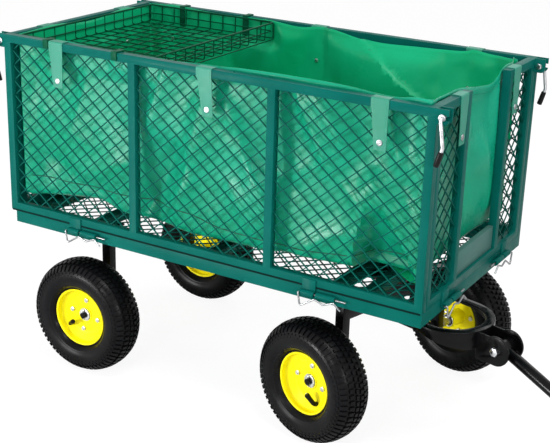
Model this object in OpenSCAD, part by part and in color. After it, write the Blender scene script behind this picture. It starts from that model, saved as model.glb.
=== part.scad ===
// Four-wheeled garden cart with folding end gates, a fabric liner and a lift-out wire basket.
// +X points to the drawbar, +Z up. The origin is on the ground, under the middle of the whole cart.

/* [Panels] */
// Length of the side panels
panel_l = 1180; // [1000:10:1300]
// Width over the side panels
cart_w = 608; // [540:2:680]
// Height of the panels
panel_h = 464; // [360:2:520]
// Side of the square panel tube
tube = 20; // [18:1:24]
// Mesh bays in each side panel
bays = 3; // [2:1:4]
// Distance from the middle of the cart to the middle of a gate's inner post
gate_post_y = 126; // [100:2:150]
// Height of the plate across the front gate's open bay
gate_plate_h = 58; // [40:2:90]
// Thickness of the front gate's plate
gate_plate_t = 3; // [2:0.5:5]

/* [Mesh] */
// Width of a mesh diamond
cell_w = 45; // [35:1:60]
// Height of a mesh diamond
cell_h = 38.5; // [30:0.5:50]
// Thickness of a mesh wire
wire = 2.6; // [2:0.1:3.5]

/* [Deck] */
// Height of the deck's underside above the ground
deck_z = 374; // [360:2:420]
// Height of the deck rails
deck_h = 32; // [28:1:45]
// Width of the deck rails
rail_w = 25; // [22:1:40]
// Height of the deck's cross members
cross_h = 24; // [18:1:26]
// Width of the deck's cross members
cross_w = 30; // [24:1:40]
// How far the side panels stand out behind the deck
rear_overhang = 16; // [4:1:24]

/* [Wheels] */
// Tyre diameter
tyre_d = 306; // [290:2:320]
// Tyre width
tyre_w = 101; // [85:1:110]
// Diameter of the rim's flange
rim_d = 160; // [150:1:170]
// Distance between the two rim flanges' outer faces
rim_w = 66; // [56:1:74]
// Thickness of the rim's sheet
rim_t = 2.5; // [2:0.5:3.5]
// Distance from the cart's middle plane to a wheel's middle plane
track_half = 280; // [270:1:300]
// Distance from the middle of the panels back to the rear axle
rear_axle_back = 364; // [330:2:400]
// Distance from the middle of the panels forward to the kingpin
kingpin_fwd = 384; // [350:2:410]
// Axle diameter
axle_d = 16; // [14:1:20]
// Outer diameter of a wheel bearing
bearing_d = 35; // [32:1:40]
// Radius of the circle of rim bolts
rim_bolt_r = 42; // [36:1:50]
// Diameter of a rim bolt
rim_bolt_d = 8; // [6:1:10]
// Number of rim bolts
rim_bolts = 4; // [3:1:6]
// How far the rim bolts are turned round the wheel, in degrees
rim_turn = 8; // [0:1:45]

/* [Undercarriage] */
// Side of the square leg tube
leg = 25; // [20:1:32]
// Distance from the middle of a wheel in to the middle of its leg
leg_in = 95; // [88:1:115]
// Diameter of the kingpin
kingpin_d = 16; // [12:1:20]
// Height of the steering yoke's beam
yoke_beam_h = 40; // [30:2:50]

/* [Steering and drawbar] */
// Turn of the steering at rest, to the left of straight ahead
steer = -15; // [-20:1:20]
// Half the width of the steering hoop
hoop_r = 105; // [90:1:120]
// Distance from the kingpin to the hoop's front
hoop_reach = 285; // [270:1:310]
// Height of the hoop's band at the front
hoop_h = 44; // [36:1:60]
// Thickness of the hoop's band
hoop_t = 5; // [4:0.5:8]
// Width of the flat ring round the hoop's top
hoop_lip = 22; // [10:1:28]
// Distance from the kingpin to the drawbar's pivot
pivot_reach = 335; // [328:1:350]
// Height of the drawbar's pivot
pivot_z = 272; // [255:1:280]
// Radius of a clevis ear
ear_r = 36; // [30:1:40]
// Thickness of a clevis ear
ear_t = 6; // [4:1:8]
// Gap between the clevis ears
ear_gap = 50; // [36:1:56]
// Diameter of the clevis bolt
clevis_bolt_d = 12; // [10:1:16]
// Drawbar length from the pivot to the middle of the grip
bar_l = 700; // [600:10:900]
// Diameter of the drawbar tube
bar_d = 28; // [24:1:32]
// Width between the middles of the handle's arms
handle_w = 100; // [90:2:130]
// Length of the handle's loop
handle_l = 90; // [80:2:120]
// Diameter of the handle's rod
handle_d = 16; // [12:1:18]
// Diameter of the grip
grip_d = 30; // [26:1:36]

/* [Hinges, clips and latches] */
// Outer diameter of a hinge sleeve
sleeve_d = 15; // [13:0.5:18]
// Depth of the hinge line below the deck's top
hinge_drop = 15; // [12:1:18]
// Diameter of a spring clip's wire
clip_d = 4.5; // [3.5:0.5:5]
// Length of a spring clip's straight leg
clip_l = 130; // [120:2:150]
// Place of the side clips, from the middle of the panels to their middle
clip_x = 342; // [300:2:380]
// Place of the gate clips, from the middle plane to their middle
clip_y = 150; // [130:2:180]
// How far a latch bracket stands out past the panel
latch_reach = 26; // [24:1:40]
// Height of a latch bracket
latch_h = 34; // [28:1:40]
// Thickness of a latch bracket
latch_t = 4; // [3:0.5:5]
// Diameter of a latch lever's rod
lever_d = 8; // [6:1:9]
// Length of the lever's hanging rod
lever_l = 62; // [50:2:80]
// Length of the lever's sleeve
lever_grip_l = 34; // [26:2:44]
// Diameter of the lever's sleeve
lever_grip_d = 14; // [12:1:16]

/* [Liner and basket] */
// Thickness of the liner's cloth
cloth = 2; // [1.5:0.5:3]
// Height of the liner's floor above the deck's top
liner_lift = 32; // [0:1:60]
// Width of a liner strap
strap_w = 42; // [36:1:54]
// How far a strap hangs down outside
strap_drop = 112; // [90:2:130]
// Distance from the middle plane to a gate strap
gate_strap_y = 160; // [148:1:175]
// Length of the basket
basket_l = 418; // [360:2:460]
// Depth of the basket
basket_h = 50; // [40:2:80]
// Thickness of the basket's wire
basket_wire = 4; // [3:0.5:5]
// Pitch of the basket's wires
basket_pitch = 42; // [34:1:52]
// Width of a basket hook
hook_w = 16; // [12:1:18]

/* [Hidden] */
$fn = 64;

// clearances
run = 0.05;      // radial clearance of a running fit
slack = 0.5;     // side clearance of pieces that move past each other
touch = 0.3;     // clearance of cloth from steel
eps = 1;         // how far a cutting tool reaches past what it cuts

// panels and deck
half_l = panel_l / 2;
half_w = cart_w / 2;
deck_top = deck_z + deck_h;
top_z = deck_top + panel_h;
inner_y = half_w - tube;
gate_half = inner_y - slack;
deck_rear = -half_l + rear_overhang;
deck_front = half_l;
mesh_t = 2 * wire;
post_step = (panel_l - tube) / bays;

// hinges
hinge_z = deck_top - hinge_drop;
hinge_out = sleeve_d / 2 + slack;
clip_r = clip_d / 2;
panel_sleeve = [15, 35];   // start and length of the panel's sleeve along a clip
deck_sleeve = [56, 48];    // start and length of the deck's sleeve along a clip
tab_t = 3;

// wheels
wheel_r = tyre_d / 2;
axle_r = axle_d / 2;
bead_r = rim_d / 2 - 5;
hub_r = bearing_d / 2 + 3;
hub_out = 10;
hub_in = 48;
bearing_w = 11;
washer_t = 2.5;
washer_r = 2 * axle_r;
pin_r = 1.6;
axle_pin = track_half + hub_out + slack + washer_t + pin_r + 0.2;
axle_end = axle_pin + 6;
head_t = 8;

// undercarriage
foot = 60;
foot_t = 5;
plate_t = 6;
washer_h = 4;
disc_r = 55;
disc_h = 6;
yoke_top = deck_z - plate_t - washer_h;
beam_over_pivot = 51;
beam_top = pivot_z + beam_over_pivot;
beam_z = beam_top - yoke_beam_h;
leg_y = track_half - leg_in;
leg_foot = wheel_r - leg / 2;
king_r = kingpin_d / 2;
king_gap = 80;
bolt_r = 4;
bolt_head = 6;
bolt_in = 18;
foot_bolt_y = 22;
plate_bolt_y = 80;

// steering hoop, drawbar and handle
hoop_top = beam_z + 20;
hoop_mid = hoop_reach - hoop_r;
arm_h = 18;
bar_fall = asin((pivot_z - grip_d / 2) / bar_l);
eye_r = 20;
grip_l = handle_w - handle_d - 2;

// latches
bolt_out = 12;
bolt_drop = 18;
lever_bend = 25;
lever_r = lever_d / 2;
lever_y = half_w + 10;

// liner, straps and basket
liner_x = half_l - tube - 2 * touch - cloth;
liner_y = inner_y - 2 * touch - cloth;
liner_z = deck_top + liner_lift;
liner_top = top_z - 4;
near_strap_x = [-422, 18, 462];
far_strap_x = [-484.5, -14, 430];
basket_x0 = -half_l + tube + 6.5;
basket_x1 = basket_x0 + basket_l;
basket_y = inner_y - 9;
basket_top = top_z - 2;
hook_x = [-453, -242];

// the middle of the whole cart, from its rearmost bracket to its grip
grip_turn = (handle_w - handle_d - 2) / 2 * abs(sin(steer)) + grip_d / 2 * cos(steer);
x_max = kingpin_fwd + (pivot_reach + bar_l * cos(bar_fall)) * cos(steer) + grip_turn;
x_min = -half_l - latch_reach;
x_mid = (x_max + x_min) / 2;

frame_green = [0.0, 0.40, 0.36];
black = [0.05, 0.05, 0.055];
steel = [0.75, 0.76, 0.78];

// ---------- shared shapes ----------

// Puts a shape drawn from the middle of the panels in the cart's own frame
module cart() {
    translate([-x_mid, 0, 0]) children();
}

// Puts a shape drawn around the kingpin in place, turned with the steering
module steered() {
    cart() translate([kingpin_fwd, 0, 0]) rotate([0, 0, steer]) children();
}

// A box given by its low and high corners
module block(low, high) {
    translate(low) cube(high - low);
}

// A cylinder along Y between two places
module rod_y(r, y0, y1) {
    translate([0, y0, 0]) rotate([-90, 0, 0]) cylinder(r = r, h = y1 - y0);
}

// A cylinder along X between two places
module rod_x(r, x0, x1) {
    translate([x0, 0, 0]) rotate([0, 90, 0]) cylinder(r = r, h = x1 - x0);
}

// Where a mesh wire that runs along +x +y enters and leaves a bay of n by m diamonds
function wire_in(c, P, Q) = c < 0 ? [0, -c * Q] : [c * P, 0];
function wire_out(c, P, Q, n, m) = c + 2 * m < 2 * n ? [(c + 2 * m) * P, 2 * m * Q] : [2 * n * P,
    (2 * n - c) * Q];

// One layer of parallel wires across a bay
module wire_layer(w, h) {
    n = max(1, round(w / cell_w));
    m = max(1, round(h / cell_h));
    P = w / n / 2;
    Q = h / m / 2;
    d = wire / 2 * sqrt(P * P + Q * Q) / (P * Q);
    for (c = [-2 * m + 1 : 2 : 2 * n - 1])
        linear_extrude(wire) polygon([
            wire_in(c - d, P, Q), wire_in(c + d, P, Q),
            wire_out(c + d, P, Q, n, m), wire_out(c - d, P, Q, n, m)
        ]);
}

// A sheet of diamond mesh in the XY plane: two layers of wires that cross
module diamond_mesh(w, h) {
    wire_layer(w, h);
    translate([w, 0, wire]) mirror([1, 0, 0]) wire_layer(w, h);
}

// A standing sheet of mesh, w along X and h along Z, in the middle of a tube
module standing_mesh(w, h) {
    rotate([90, 0, 0]) translate([0, 0, -mesh_t / 2]) diamond_mesh(w, h);
}

// ---------- hinges ----------

// A hinge line along +X: the two sleeves' places start at x = 0, outside a wall that faces -Y
module sleeve(span, bore) {
    difference() {
        union() {
            rod_x(sleeve_d / 2, span[0], span[0] + span[1]);
            children();
        }
        rod_x(bore, span[0] - eps, span[0] + span[1] + eps);
    }
}

// The deck's sleeve with its web back to the deck's face
module deck_hinge_sleeve(reach) {
    sleeve(deck_sleeve, clip_r + run)
        block([deck_sleeve[0], 0, -tab_t], [deck_sleeve[0] + deck_sleeve[1], reach, tab_t]);
}

// The panel's sleeve with the tab that rises to the panel's bottom rail
module panel_hinge_sleeve() {
    a = panel_sleeve[0];
    b = a + panel_sleeve[1];
    sleeve(panel_sleeve, clip_r + run) {
        block([a, hinge_out - slack - tab_t, 0], [b, hinge_out - slack, hinge_drop + tube - 2]);
        block([a, hinge_out - slack - tab_t, hinge_drop + slack],
            [b, hinge_out + eps, hinge_drop + tube - 2]);
    }
}

// The spring clip: a straight leg through both sleeves and a wavy leg outside them
clip_wave = [[6, -34], [41, -11], [60, -19], [88, -8], [103, -22]];
module wave_link(a, b) {
    translate(a) rotate(atan2(b[1] - a[1], b[0] - a[0])) translate([0, -clip_r])
        square([norm(b - a), 2 * clip_r]);
    translate(a) circle(clip_r + 0.1, $fn = 24);
    translate(b) circle(clip_r + 0.1, $fn = 24);
}
module spring_clip() {
    out = sleeve_d / 2 + clip_r + touch;
    rod_x(clip_r, 0, clip_l);
    translate([0, -out + clip_r, 0]) rotate([90, 0, 0]) linear_extrude(2 * clip_r) {
        wave_link([0, 0], clip_wave[0]);
        for (i = [0 : len(clip_wave) - 2]) wave_link(clip_wave[i], clip_wave[i + 1]);
    }
    rod_y(0.95 * clip_r, -out, 0);
}

// Puts a hinge piece at each of the two places of a side or a gate
module along_near_side() {
    for (x = [-clip_x, clip_x])
        translate([x - clip_l / 2, -half_w - hinge_out, hinge_z]) children();
}
module along_far_side() {
    mirror([0, 1, 0]) along_near_side() children();
}
module along_front() {
    for (s = [0, 1]) mirror([0, s, 0])
        translate([half_l + hinge_out, -clip_y - clip_l / 2, hinge_z]) rotate([0, 0, 90]) children();
}
module along_rear() {
    mirror([1, 0, 0]) along_front() children();
}

// ---------- deck ----------

cross_x = [deck_rear + cross_w / 2, -rear_axle_back, 0, kingpin_fwd - king_gap / 2,
    kingpin_fwd + king_gap / 2,
           deck_front - cross_w / 2];

// Places of the bolts that hold the rear feet and the steering plate up to the deck
module at_foot_bolts() {
    for (sy = [-1, 1]) for (dy = [-foot_bolt_y, foot_bolt_y])
        translate([-rear_axle_back, sy * leg_y + dy, deck_z]) children();
}
module at_plate_bolts() {
    for (sx = [-1, 1]) for (sy = [-1, 1])
        translate([kingpin_fwd + sx * king_gap / 2, sy * plate_bolt_y, deck_z]) children();
}
module bolt_hole(under) {
    translate([0, 0, -under - eps]) cylinder(r = bolt_r + run, h = under + bolt_in + 2 * eps, $fn = 32);
}
module bolt(under) {
    translate([0, 0, -under - bolt_head]) cylinder(r = 7, h = bolt_head, $fn = 6);
    translate([0, 0, -under - eps]) cylinder(r = bolt_r, h = under + bolt_in + eps, $fn = 32);
}

module deck_frame() {
    color(frame_green) cart() difference() {
        union() {
        for (s = [0, 1]) mirror([0, s, 0])
            block([deck_rear, -half_w, deck_z], [deck_front, -half_w + rail_w, deck_top]);
        for (x = cross_x)
            block([x - cross_w / 2, -half_w + rail_w - eps, deck_z],
                [x + cross_w / 2, half_w - rail_w + eps, deck_z + cross_h]);
        for (x = [deck_rear, deck_front - 4])
            block([x, -half_w + rail_w - eps, deck_z], [x + 4, half_w - rail_w + eps, deck_top]);
        }
        at_foot_bolts() bolt_hole(0);
        at_plate_bolts() bolt_hole(0);
    }
}

// The floor mesh comes in three sheets, side by side
module deck_mesh() {
    sheet_l = (deck_front - deck_rear - 8) / 3;
    color(frame_green) cart() for (i = [0 : 2])
        translate([deck_rear + 4 + i * sheet_l, -half_w + rail_w, deck_z + cross_h])
            diamond_mesh(sheet_l - 0.5, cart_w - 2 * rail_w);
}

module deck_hinge_sleeves() {
    color(frame_green) cart() {
        along_near_side() deck_hinge_sleeve(hinge_out);
        along_far_side() deck_hinge_sleeve(hinge_out);
        along_front() deck_hinge_sleeve(hinge_out);
        along_rear() deck_hinge_sleeve(hinge_out + rear_overhang);
    }
}

// ---------- undercarriage ----------

module rear_legs() {
    color(black) cart() difference() {
        translate([-rear_axle_back, 0, 0]) {
            for (s = [0, 1]) mirror([0, s, 0]) {
                block([-leg / 2, -leg_y - leg / 2, leg_foot],
                    [leg / 2, -leg_y + leg / 2, deck_z - foot_t + eps]);
                block([-foot / 2, -leg_y - foot / 2, deck_z - foot_t],
                    [foot / 2, -leg_y + foot / 2, deck_z]);
            }
        }
        translate([-rear_axle_back, 0, wheel_r]) rod_y(axle_r + run, -leg_y - leg, leg_y + leg);
        at_foot_bolts() bolt_hole(foot_t);
    }
}

// A stub axle at each side: a head behind the leg and a cross hole for the split pin near its end
module stub_axles() {
    for (s = [0, 1]) mirror([0, s, 0]) translate([0, 0, wheel_r]) {
        difference() {
            rod_y(axle_r, -axle_end, -leg_y + leg / 2 + head_t);
            translate([0, -axle_pin, -2 * axle_r]) cylinder(r = pin_r + run, h = 4 * axle_r);
        }
        translate([0, -leg_y + leg / 2 + 0.1, 0]) rotate([-90, 0, 0])
            cylinder(r = 1.7 * axle_r, h = head_t, $fn = 6);
    }
}

// Spacer tube, washer and split pin on each stub axle
module axle_fitting_set() {
    for (s = [0, 1]) mirror([0, s, 0]) translate([0, 0, wheel_r]) {
        difference() {
            rod_y(axle_r + 4, -track_half + hub_in + slack, -leg_y - leg / 2);
            rod_y(axle_r + run, -track_half, -leg_y);
        }
        difference() {
            rod_y(washer_r, -track_half - hub_out - slack - washer_t, -track_half - hub_out - slack);
            rod_y(axle_r + run, -track_half - 2 * hub_out, -track_half);
        }
        translate([0, -axle_pin, 0]) {
            translate([0, 0, -axle_r - 6]) cylinder(r = pin_r, h = 2 * axle_r + 10);
            translate([0, 0, axle_r + 5]) rotate([0, 90, 0])
                cylinder(r = 1.9 * pin_r, h = 2 * pin_r, center = true);
        }
    }
}

module rear_axle() {
    color(black) cart() translate([-rear_axle_back, 0, 0]) stub_axles();
}

module rear_axle_fittings() {
    color(steel) cart() translate([-rear_axle_back, 0, 0]) axle_fitting_set();
}

// Bolts that hold the rear feet and the steering plate up to the deck
module frame_bolts() {
    color(steel) cart() {
        at_foot_bolts() bolt(foot_t);
        at_plate_bolts() bolt(plate_t);
    }
}

module steering_plate() {
    reach = king_gap / 2 + cross_w / 2;
    color(black) cart() difference() {
        translate([kingpin_fwd, 0, 0])
            block([-reach, -plate_bolt_y - 20, deck_z - plate_t], [reach, plate_bolt_y + 20, deck_z]);
        translate([kingpin_fwd, 0, deck_z - plate_t - eps])
            cylinder(r = king_r + run, h = plate_t + 2 * eps);
        at_plate_bolts() bolt_hole(plate_t);
    }
}

module kingpin() {
    color(steel) steered() {
        translate([0, 0, beam_z - kingpin_d]) cylinder(r = king_r, h = deck_z - beam_z + kingpin_d + 14);
        translate([0, 0, deck_z + 0.2]) cylinder(r = 1.7 * king_r, h = 10, $fn = 6);
        translate([0, 0, beam_z - 12]) cylinder(r = 1.7 * king_r, h = 12, $fn = 6);
    }
}

module turntable_washer() {
    color(steel) steered() difference() {
        translate([0, 0, yoke_top]) cylinder(r = disc_r, h = washer_h - 0.1);
        translate([0, 0, yoke_top - eps]) cylinder(r = king_r + run, h = washer_h + 2 * eps);
    }
}

module steering_yoke() {
    color(black) steered() difference() {
        union() {
            translate([0, 0, yoke_top - disc_h]) cylinder(r = disc_r, h = disc_h);
            translate([0, 0, beam_top - eps]) cylinder(r = 28, h = yoke_top - disc_h - beam_top + 2 * eps);
            block([-leg / 2, -leg_y - leg / 2, beam_z], [leg / 2, leg_y + leg / 2, beam_top]);
            for (s = [0, 1]) mirror([0, s, 0])
                block([-leg / 2, -leg_y - leg / 2, leg_foot], [leg / 2, -leg_y + leg / 2, beam_z + eps]);
        }
        translate([0, 0, beam_z - eps]) cylinder(r = king_r + run, h = yoke_top - beam_z + 2 * eps);
        translate([0, 0, wheel_r]) rod_y(axle_r + run, -leg_y - leg, leg_y + leg);
    }
}

// The hoop's outline seen from above, from the yoke's beam to the round front
module hoop_plan(r) {
    translate([hoop_mid, 0]) circle(r, $fn = 96);
    translate([leg / 2, -r]) square([hoop_mid - leg / 2, 2 * r]);
}

module steering_hoop() {
    low = hoop_top - hoop_h;
    color(black) steered() {
        difference() {
            translate([0, 0, low]) linear_extrude(hoop_h) difference() {
                hoop_plan(hoop_r);
                translate([-eps, 0]) hoop_plan(hoop_r - hoop_t);
            }
            // the band is deep at the front and rises to slim arms
            translate([0, hoop_r + eps, 0]) rotate([90, 0, 0]) linear_extrude(2 * hoop_r + 2 * eps)
                polygon([[0, low - eps], [0, hoop_top - arm_h], [hoop_mid - 15, hoop_top - arm_h],
                         [hoop_mid + 0.85 * hoop_r, low], [hoop_mid + 0.85 * hoop_r, low - eps]]);
        }
        // a flat ring stiffens the band's top edge
        translate([0, 0, hoop_top - hoop_t]) linear_extrude(hoop_t) difference() {
            hoop_plan(hoop_r - hoop_t / 2);
            translate([-eps, 0]) hoop_plan(hoop_r - hoop_lip);
        }
    }
}

module clevis_ears() {
    color(black) steered() difference() {
        for (s = [0, 1]) mirror([0, s, 0])
            translate([0, -ear_gap / 2, 0]) rotate([90, 0, 0]) linear_extrude(ear_t) {
                translate([pivot_reach, pivot_z]) circle(ear_r);
                translate([hoop_mid + hoop_r / 2, pivot_z - ear_r])
                    square([pivot_reach - hoop_mid - hoop_r / 2, 2 * ear_r - 6]);
            }
        translate([hoop_mid, 0, pivot_z - 2 * ear_r]) cylinder(r = hoop_r, h = 4 * ear_r, $fn = 96);
        translate([pivot_reach, 0, pivot_z]) rod_y(clevis_bolt_d / 2 + run, -ear_gap, ear_gap);
    }
}

module front_axle() {
    color(black) steered() stub_axles();
}

module front_axle_fittings() {
    color(steel) steered() axle_fitting_set();
}

module clevis_bolt() {
    out = ear_gap / 2 + ear_t;
    color(steel) steered() translate([pivot_reach, 0, pivot_z]) {
        rod_y(clevis_bolt_d / 2, -out - 1, out + 1);
        for (s = [0, 1]) mirror([0, s, 0]) translate([0, -out - 8, 0]) rotate([-90, 0, 0])
            cylinder(r = 11, h = 8, $fn = 6);
    }
}

// ---------- drawbar ----------

// Puts a shape drawn along +X from the drawbar's pivot in place
module on_drawbar() {
    steered() translate([pivot_reach, 0, pivot_z]) rotate([0, bar_fall, 0]) children();
}

module drawbar_tube() {
    color(black) on_drawbar() difference() {
        rod_x(bar_d / 2, 0, bar_l - handle_l - handle_d / 2);
        rod_y(eye_r, -bar_d, bar_d);
    }
}

module drawbar_eye() {
    color(black) on_drawbar() difference() {
        rod_y(eye_r, -ear_gap / 2 + slack, ear_gap / 2 - slack);
        rod_y(clevis_bolt_d / 2 + run, -ear_gap, ear_gap);
    }
}

module drawbar_handle() {
    r = handle_d / 2;
    color(black) on_drawbar() {
        translate([bar_l - handle_l, 0, 0]) rod_y(r, -handle_w / 2, handle_w / 2);
        translate([bar_l, 0, 0]) rod_y(r, -handle_w / 2, handle_w / 2);
        for (s = [-1, 1]) translate([0, s * handle_w / 2, 0]) {
            rod_x(r, bar_l - handle_l, bar_l);
            for (x = [bar_l - handle_l, bar_l]) translate([x, 0, 0]) sphere(r);
        }
        rod_x(bar_d / 2, bar_l - handle_l - r, bar_l - handle_l + r);
    }
}

module handle_grip() {
    color(black) on_drawbar() translate([bar_l, 0, 0]) difference() {
        rod_y(grip_d / 2, -grip_l / 2, grip_l / 2);
        rod_y(handle_d / 2 + run, -grip_l, grip_l);
    }
}

// ---------- side panels ----------

// A latch bracket's plate with the open slot that the lever's bolt leaves through
module latch_plate(slot) {
    rotate([90, 0, 0]) linear_extrude(latch_t) difference() {
        union() {
            translate([-tube, -latch_h]) square([latch_reach + tube - 10, latch_h]);
            translate([latch_reach - 10, -latch_h + 10]) square([10, latch_h - 10]);
            translate([latch_reach - 10, -latch_h + 10]) circle(10);
        }
        translate([bolt_out, -bolt_drop]) {
            circle(slot);
            if (slot > lever_r + run) translate([0, -slot - 1]) square([latch_reach, 2 * slot + 1]);
        }
    }
}

module near_side_frame_shape() {
    for (z = [deck_top, top_z - tube])
        block([-half_l, -half_w, z], [half_l, -half_w + tube, z + tube]);
    for (i = [0 : bays])
        block([-half_l + i * post_step, -half_w, deck_top + eps],
            [-half_l + i * post_step + tube, -half_w + tube, top_z - eps]);
    along_near_side() panel_hinge_sleeve();
    for (s = [0, 1]) mirror([s, 0, 0])
        translate([half_l, -half_w + latch_t, top_z]) latch_plate(lever_r + 0.6);
}

module near_side_mesh_shape() {
    for (i = [0 : bays - 1])
        translate([-half_l + i * post_step + tube, -half_w + tube / 2, deck_top + tube])
            standing_mesh(post_step - tube, panel_h - 2 * tube);
}

module near_side_frame() {
    color(frame_green) cart() near_side_frame_shape();
}

module near_side_mesh() {
    color(frame_green) cart() near_side_mesh_shape();
}

module far_side_frame() {
    color(frame_green) cart() mirror([0, 1, 0]) near_side_frame_shape();
}

module far_side_mesh() {
    color(frame_green) cart() mirror([0, 1, 0]) near_side_mesh_shape();
}

// ---------- gates ----------

// Posts of a gate, from the near corner to the far one
gate_posts = [-gate_half + tube / 2, -gate_post_y, gate_post_y, gate_half - tube / 2];

module gate_posts_and_rail() {
    block([half_l - tube, -gate_half, deck_top + slack], [half_l, gate_half, deck_top + tube]);
    for (y = gate_posts)
        block([half_l - tube, y - tube / 2, deck_top + eps], [half_l, y + tube / 2, top_z]);
    along_front() panel_hinge_sleeve();
    for (s = [0, 1]) mirror([0, s, 0])
        translate([half_l, -gate_half + latch_t, top_z]) latch_plate(lever_r + run);
}

module gate_mesh(y0, y1) {
    translate([half_l - tube / 2, y0 + tube / 2, deck_top + tube]) rotate([0, 0, 90])
        standing_mesh(y1 - y0 - tube, panel_h - 2 * tube);
}

module front_gate_frame() {
    color(frame_green) cart() {
        gate_posts_and_rail();
        for (s = [0, 1]) mirror([0, s, 0])
            block([half_l - tube, -gate_half, top_z - tube], [half_l, -gate_post_y + tube / 2, top_z]);
    }
}

module front_gate_mesh() {
    color(frame_green) cart() {
        gate_mesh(gate_posts[0], gate_posts[1]);
        gate_mesh(gate_posts[2], gate_posts[3]);
    }
}

module front_gate_plate() {
    y = gate_post_y - tube / 2;
    low = deck_top + tube;
    color(frame_green) cart() {
        block([half_l - tube / 2, -y, low], [half_l - tube / 2 + gate_plate_t, y, low + gate_plate_h]);
        block([half_l - tube, -y, low + gate_plate_h - gate_plate_t],
            [half_l - tube / 2 + eps, y, low + gate_plate_h]);
    }
}

module rear_gate_frame() {
    color(frame_green) cart() mirror([1, 0, 0]) {
        gate_posts_and_rail();
        block([half_l - tube, -gate_half, top_z - tube], [half_l, gate_half, top_z]);
    }
}

module rear_gate_mesh() {
    color(frame_green) cart() mirror([1, 0, 0])
        for (i = [0 : 2]) gate_mesh(gate_posts[i], gate_posts[i + 1]);
}

// ---------- latch levers ----------

// A bent lever at the near front corner: nut, bolt end, hanging rod and sleeve
module near_front_lever() {
    translate([half_l + bolt_out, 0, top_z - bolt_drop]) {
        rod_y(lever_r, -lever_y, -gate_half + latch_t + 7);
        rod_y(1.9 * lever_r, -half_w - 3 - slack, -half_w - slack);
        translate([0, -lever_y, 0]) {
            sphere(lever_r + 0.3);
            translate([0, 0, -lever_l]) {
                cylinder(r = lever_r, h = lever_l);
                sphere(lever_r + 0.3);
                rotate([0, lever_bend, 0]) translate([0, 0, -10]) cylinder(r = lever_r, h = 10);
            }
        }
        translate([0, -gate_half + latch_t + 0.2, 0]) rotate([-90, 0, 0])
            cylinder(r = 2 * lever_r, h = 6.5, $fn = 6);
        translate([0, -lever_y, -lever_l]) rotate([0, lever_bend, 0]) translate([0, 0, -8 - lever_grip_l])
            cylinder(r = lever_grip_d / 2, h = lever_grip_l);
    }
}

module latch_lever_front_near() {
    color(steel) cart() near_front_lever();
}

module latch_lever_front_far() {
    color(steel) cart() mirror([0, 1, 0]) near_front_lever();
}

module latch_lever_rear_near() {
    color(steel) cart() mirror([1, 0, 0]) near_front_lever();
}

module latch_lever_rear_far() {
    color(steel) cart() mirror([1, 0, 0]) mirror([0, 1, 0]) near_front_lever();
}

module spring_clips() {
    color(steel) cart() {
        along_near_side() spring_clip();
        along_far_side() spring_clip();
        along_front() spring_clip();
        along_rear() spring_clip();
    }
}

// ---------- liner ----------

module liner() {
    color([0.06, 0.62, 0.42]) cart() difference() {
        block([-liner_x, -liner_y, liner_z], [liner_x, liner_y, liner_top]);
        block([-liner_x + cloth, -liner_y + cloth, liner_z + cloth],
            [liner_x - cloth, liner_y - cloth, liner_top + eps]);
    }
}

// A strap sewn to the liner's wall at y = 0, over a rail from y = gap to gap + tube, and down outside.
// It is drawn for a wall that faces -Y, with z = 0 at the rail's top.
module strap(gap) {
    out = gap + tube + touch;
    translate([-strap_w / 2, 0, 0]) {
        block([0, -cloth, -34], [strap_w, 0, touch + cloth]);
        block([0, -out - cloth, touch], [strap_w, 0, touch + cloth]);
        block([0, -out - cloth, -strap_drop], [strap_w, -out, touch + cloth]);
    }
}

module side_straps() {
    gap = inner_y - liner_y;
    color([0.06, 0.62, 0.42]) cart() {
        for (x = near_strap_x) translate([x, -liner_y, top_z]) strap(gap);
        mirror([0, 1, 0]) for (x = far_strap_x) translate([x, -liner_y, top_z]) strap(gap);
    }
}

module gate_strap_pair() {
    gap = half_l - tube - liner_x;
    for (s = [-1, 1]) translate([liner_x, s * gate_strap_y, top_z]) rotate([0, 0, 90]) strap(gap);
}

module front_straps() {
    color([0.06, 0.62, 0.42]) cart() gate_strap_pair();
}

module rear_straps() {
    color([0.06, 0.62, 0.42]) cart() mirror([1, 0, 0]) gate_strap_pair();
}

// ---------- basket ----------

// A wire bent up at both ends, drawn across from -w/2 to w/2 along X, with its foot at z = 0
module bent_wire(w, h) {
    t = basket_wire;
    block([-w / 2, -t / 2, 0], [w / 2, t / 2, t]);
    for (s = [0, 1]) mirror([s, 0, 0]) block([-w / 2, -t / 2, 0], [-w / 2 + t, t / 2, h]);
}

// A level loop of wire inside w by h, t wide
module loop(w, h, t) {
    difference() {
        block([-w / 2, -h / 2, 0], [w / 2, h / 2, t]);
        block([-w / 2 + t, -h / 2 + t, -eps], [w / 2 - t, h / 2 - t, t + eps]);
    }
}

module basket() {
    t = basket_wire;
    nx = round(basket_l / basket_pitch);
    ny = round(2 * basket_y / basket_pitch);
    color([0.0, 0.30, 0.22]) cart() translate([(basket_x0 + basket_x1) / 2, 0, basket_top - basket_h]) {
        for (i = [0 : nx]) translate([(i / nx - 0.5) * (basket_l - t), 0, 0]) rotate([0, 0, 90])
            bent_wire(2 * basket_y, basket_h - t);
        for (i = [0 : ny]) translate([0, (i / ny - 0.5) * (2 * basket_y - 3 * t), t])
            bent_wire(basket_l, basket_h - 2 * t);
        translate([0, 0, basket_h - t]) loop(basket_l, 2 * basket_y, t);
        translate([0, 0, basket_h / 2]) loop(basket_l - 2 * t, 2 * basket_y - 2 * t, t);
    }
}

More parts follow.
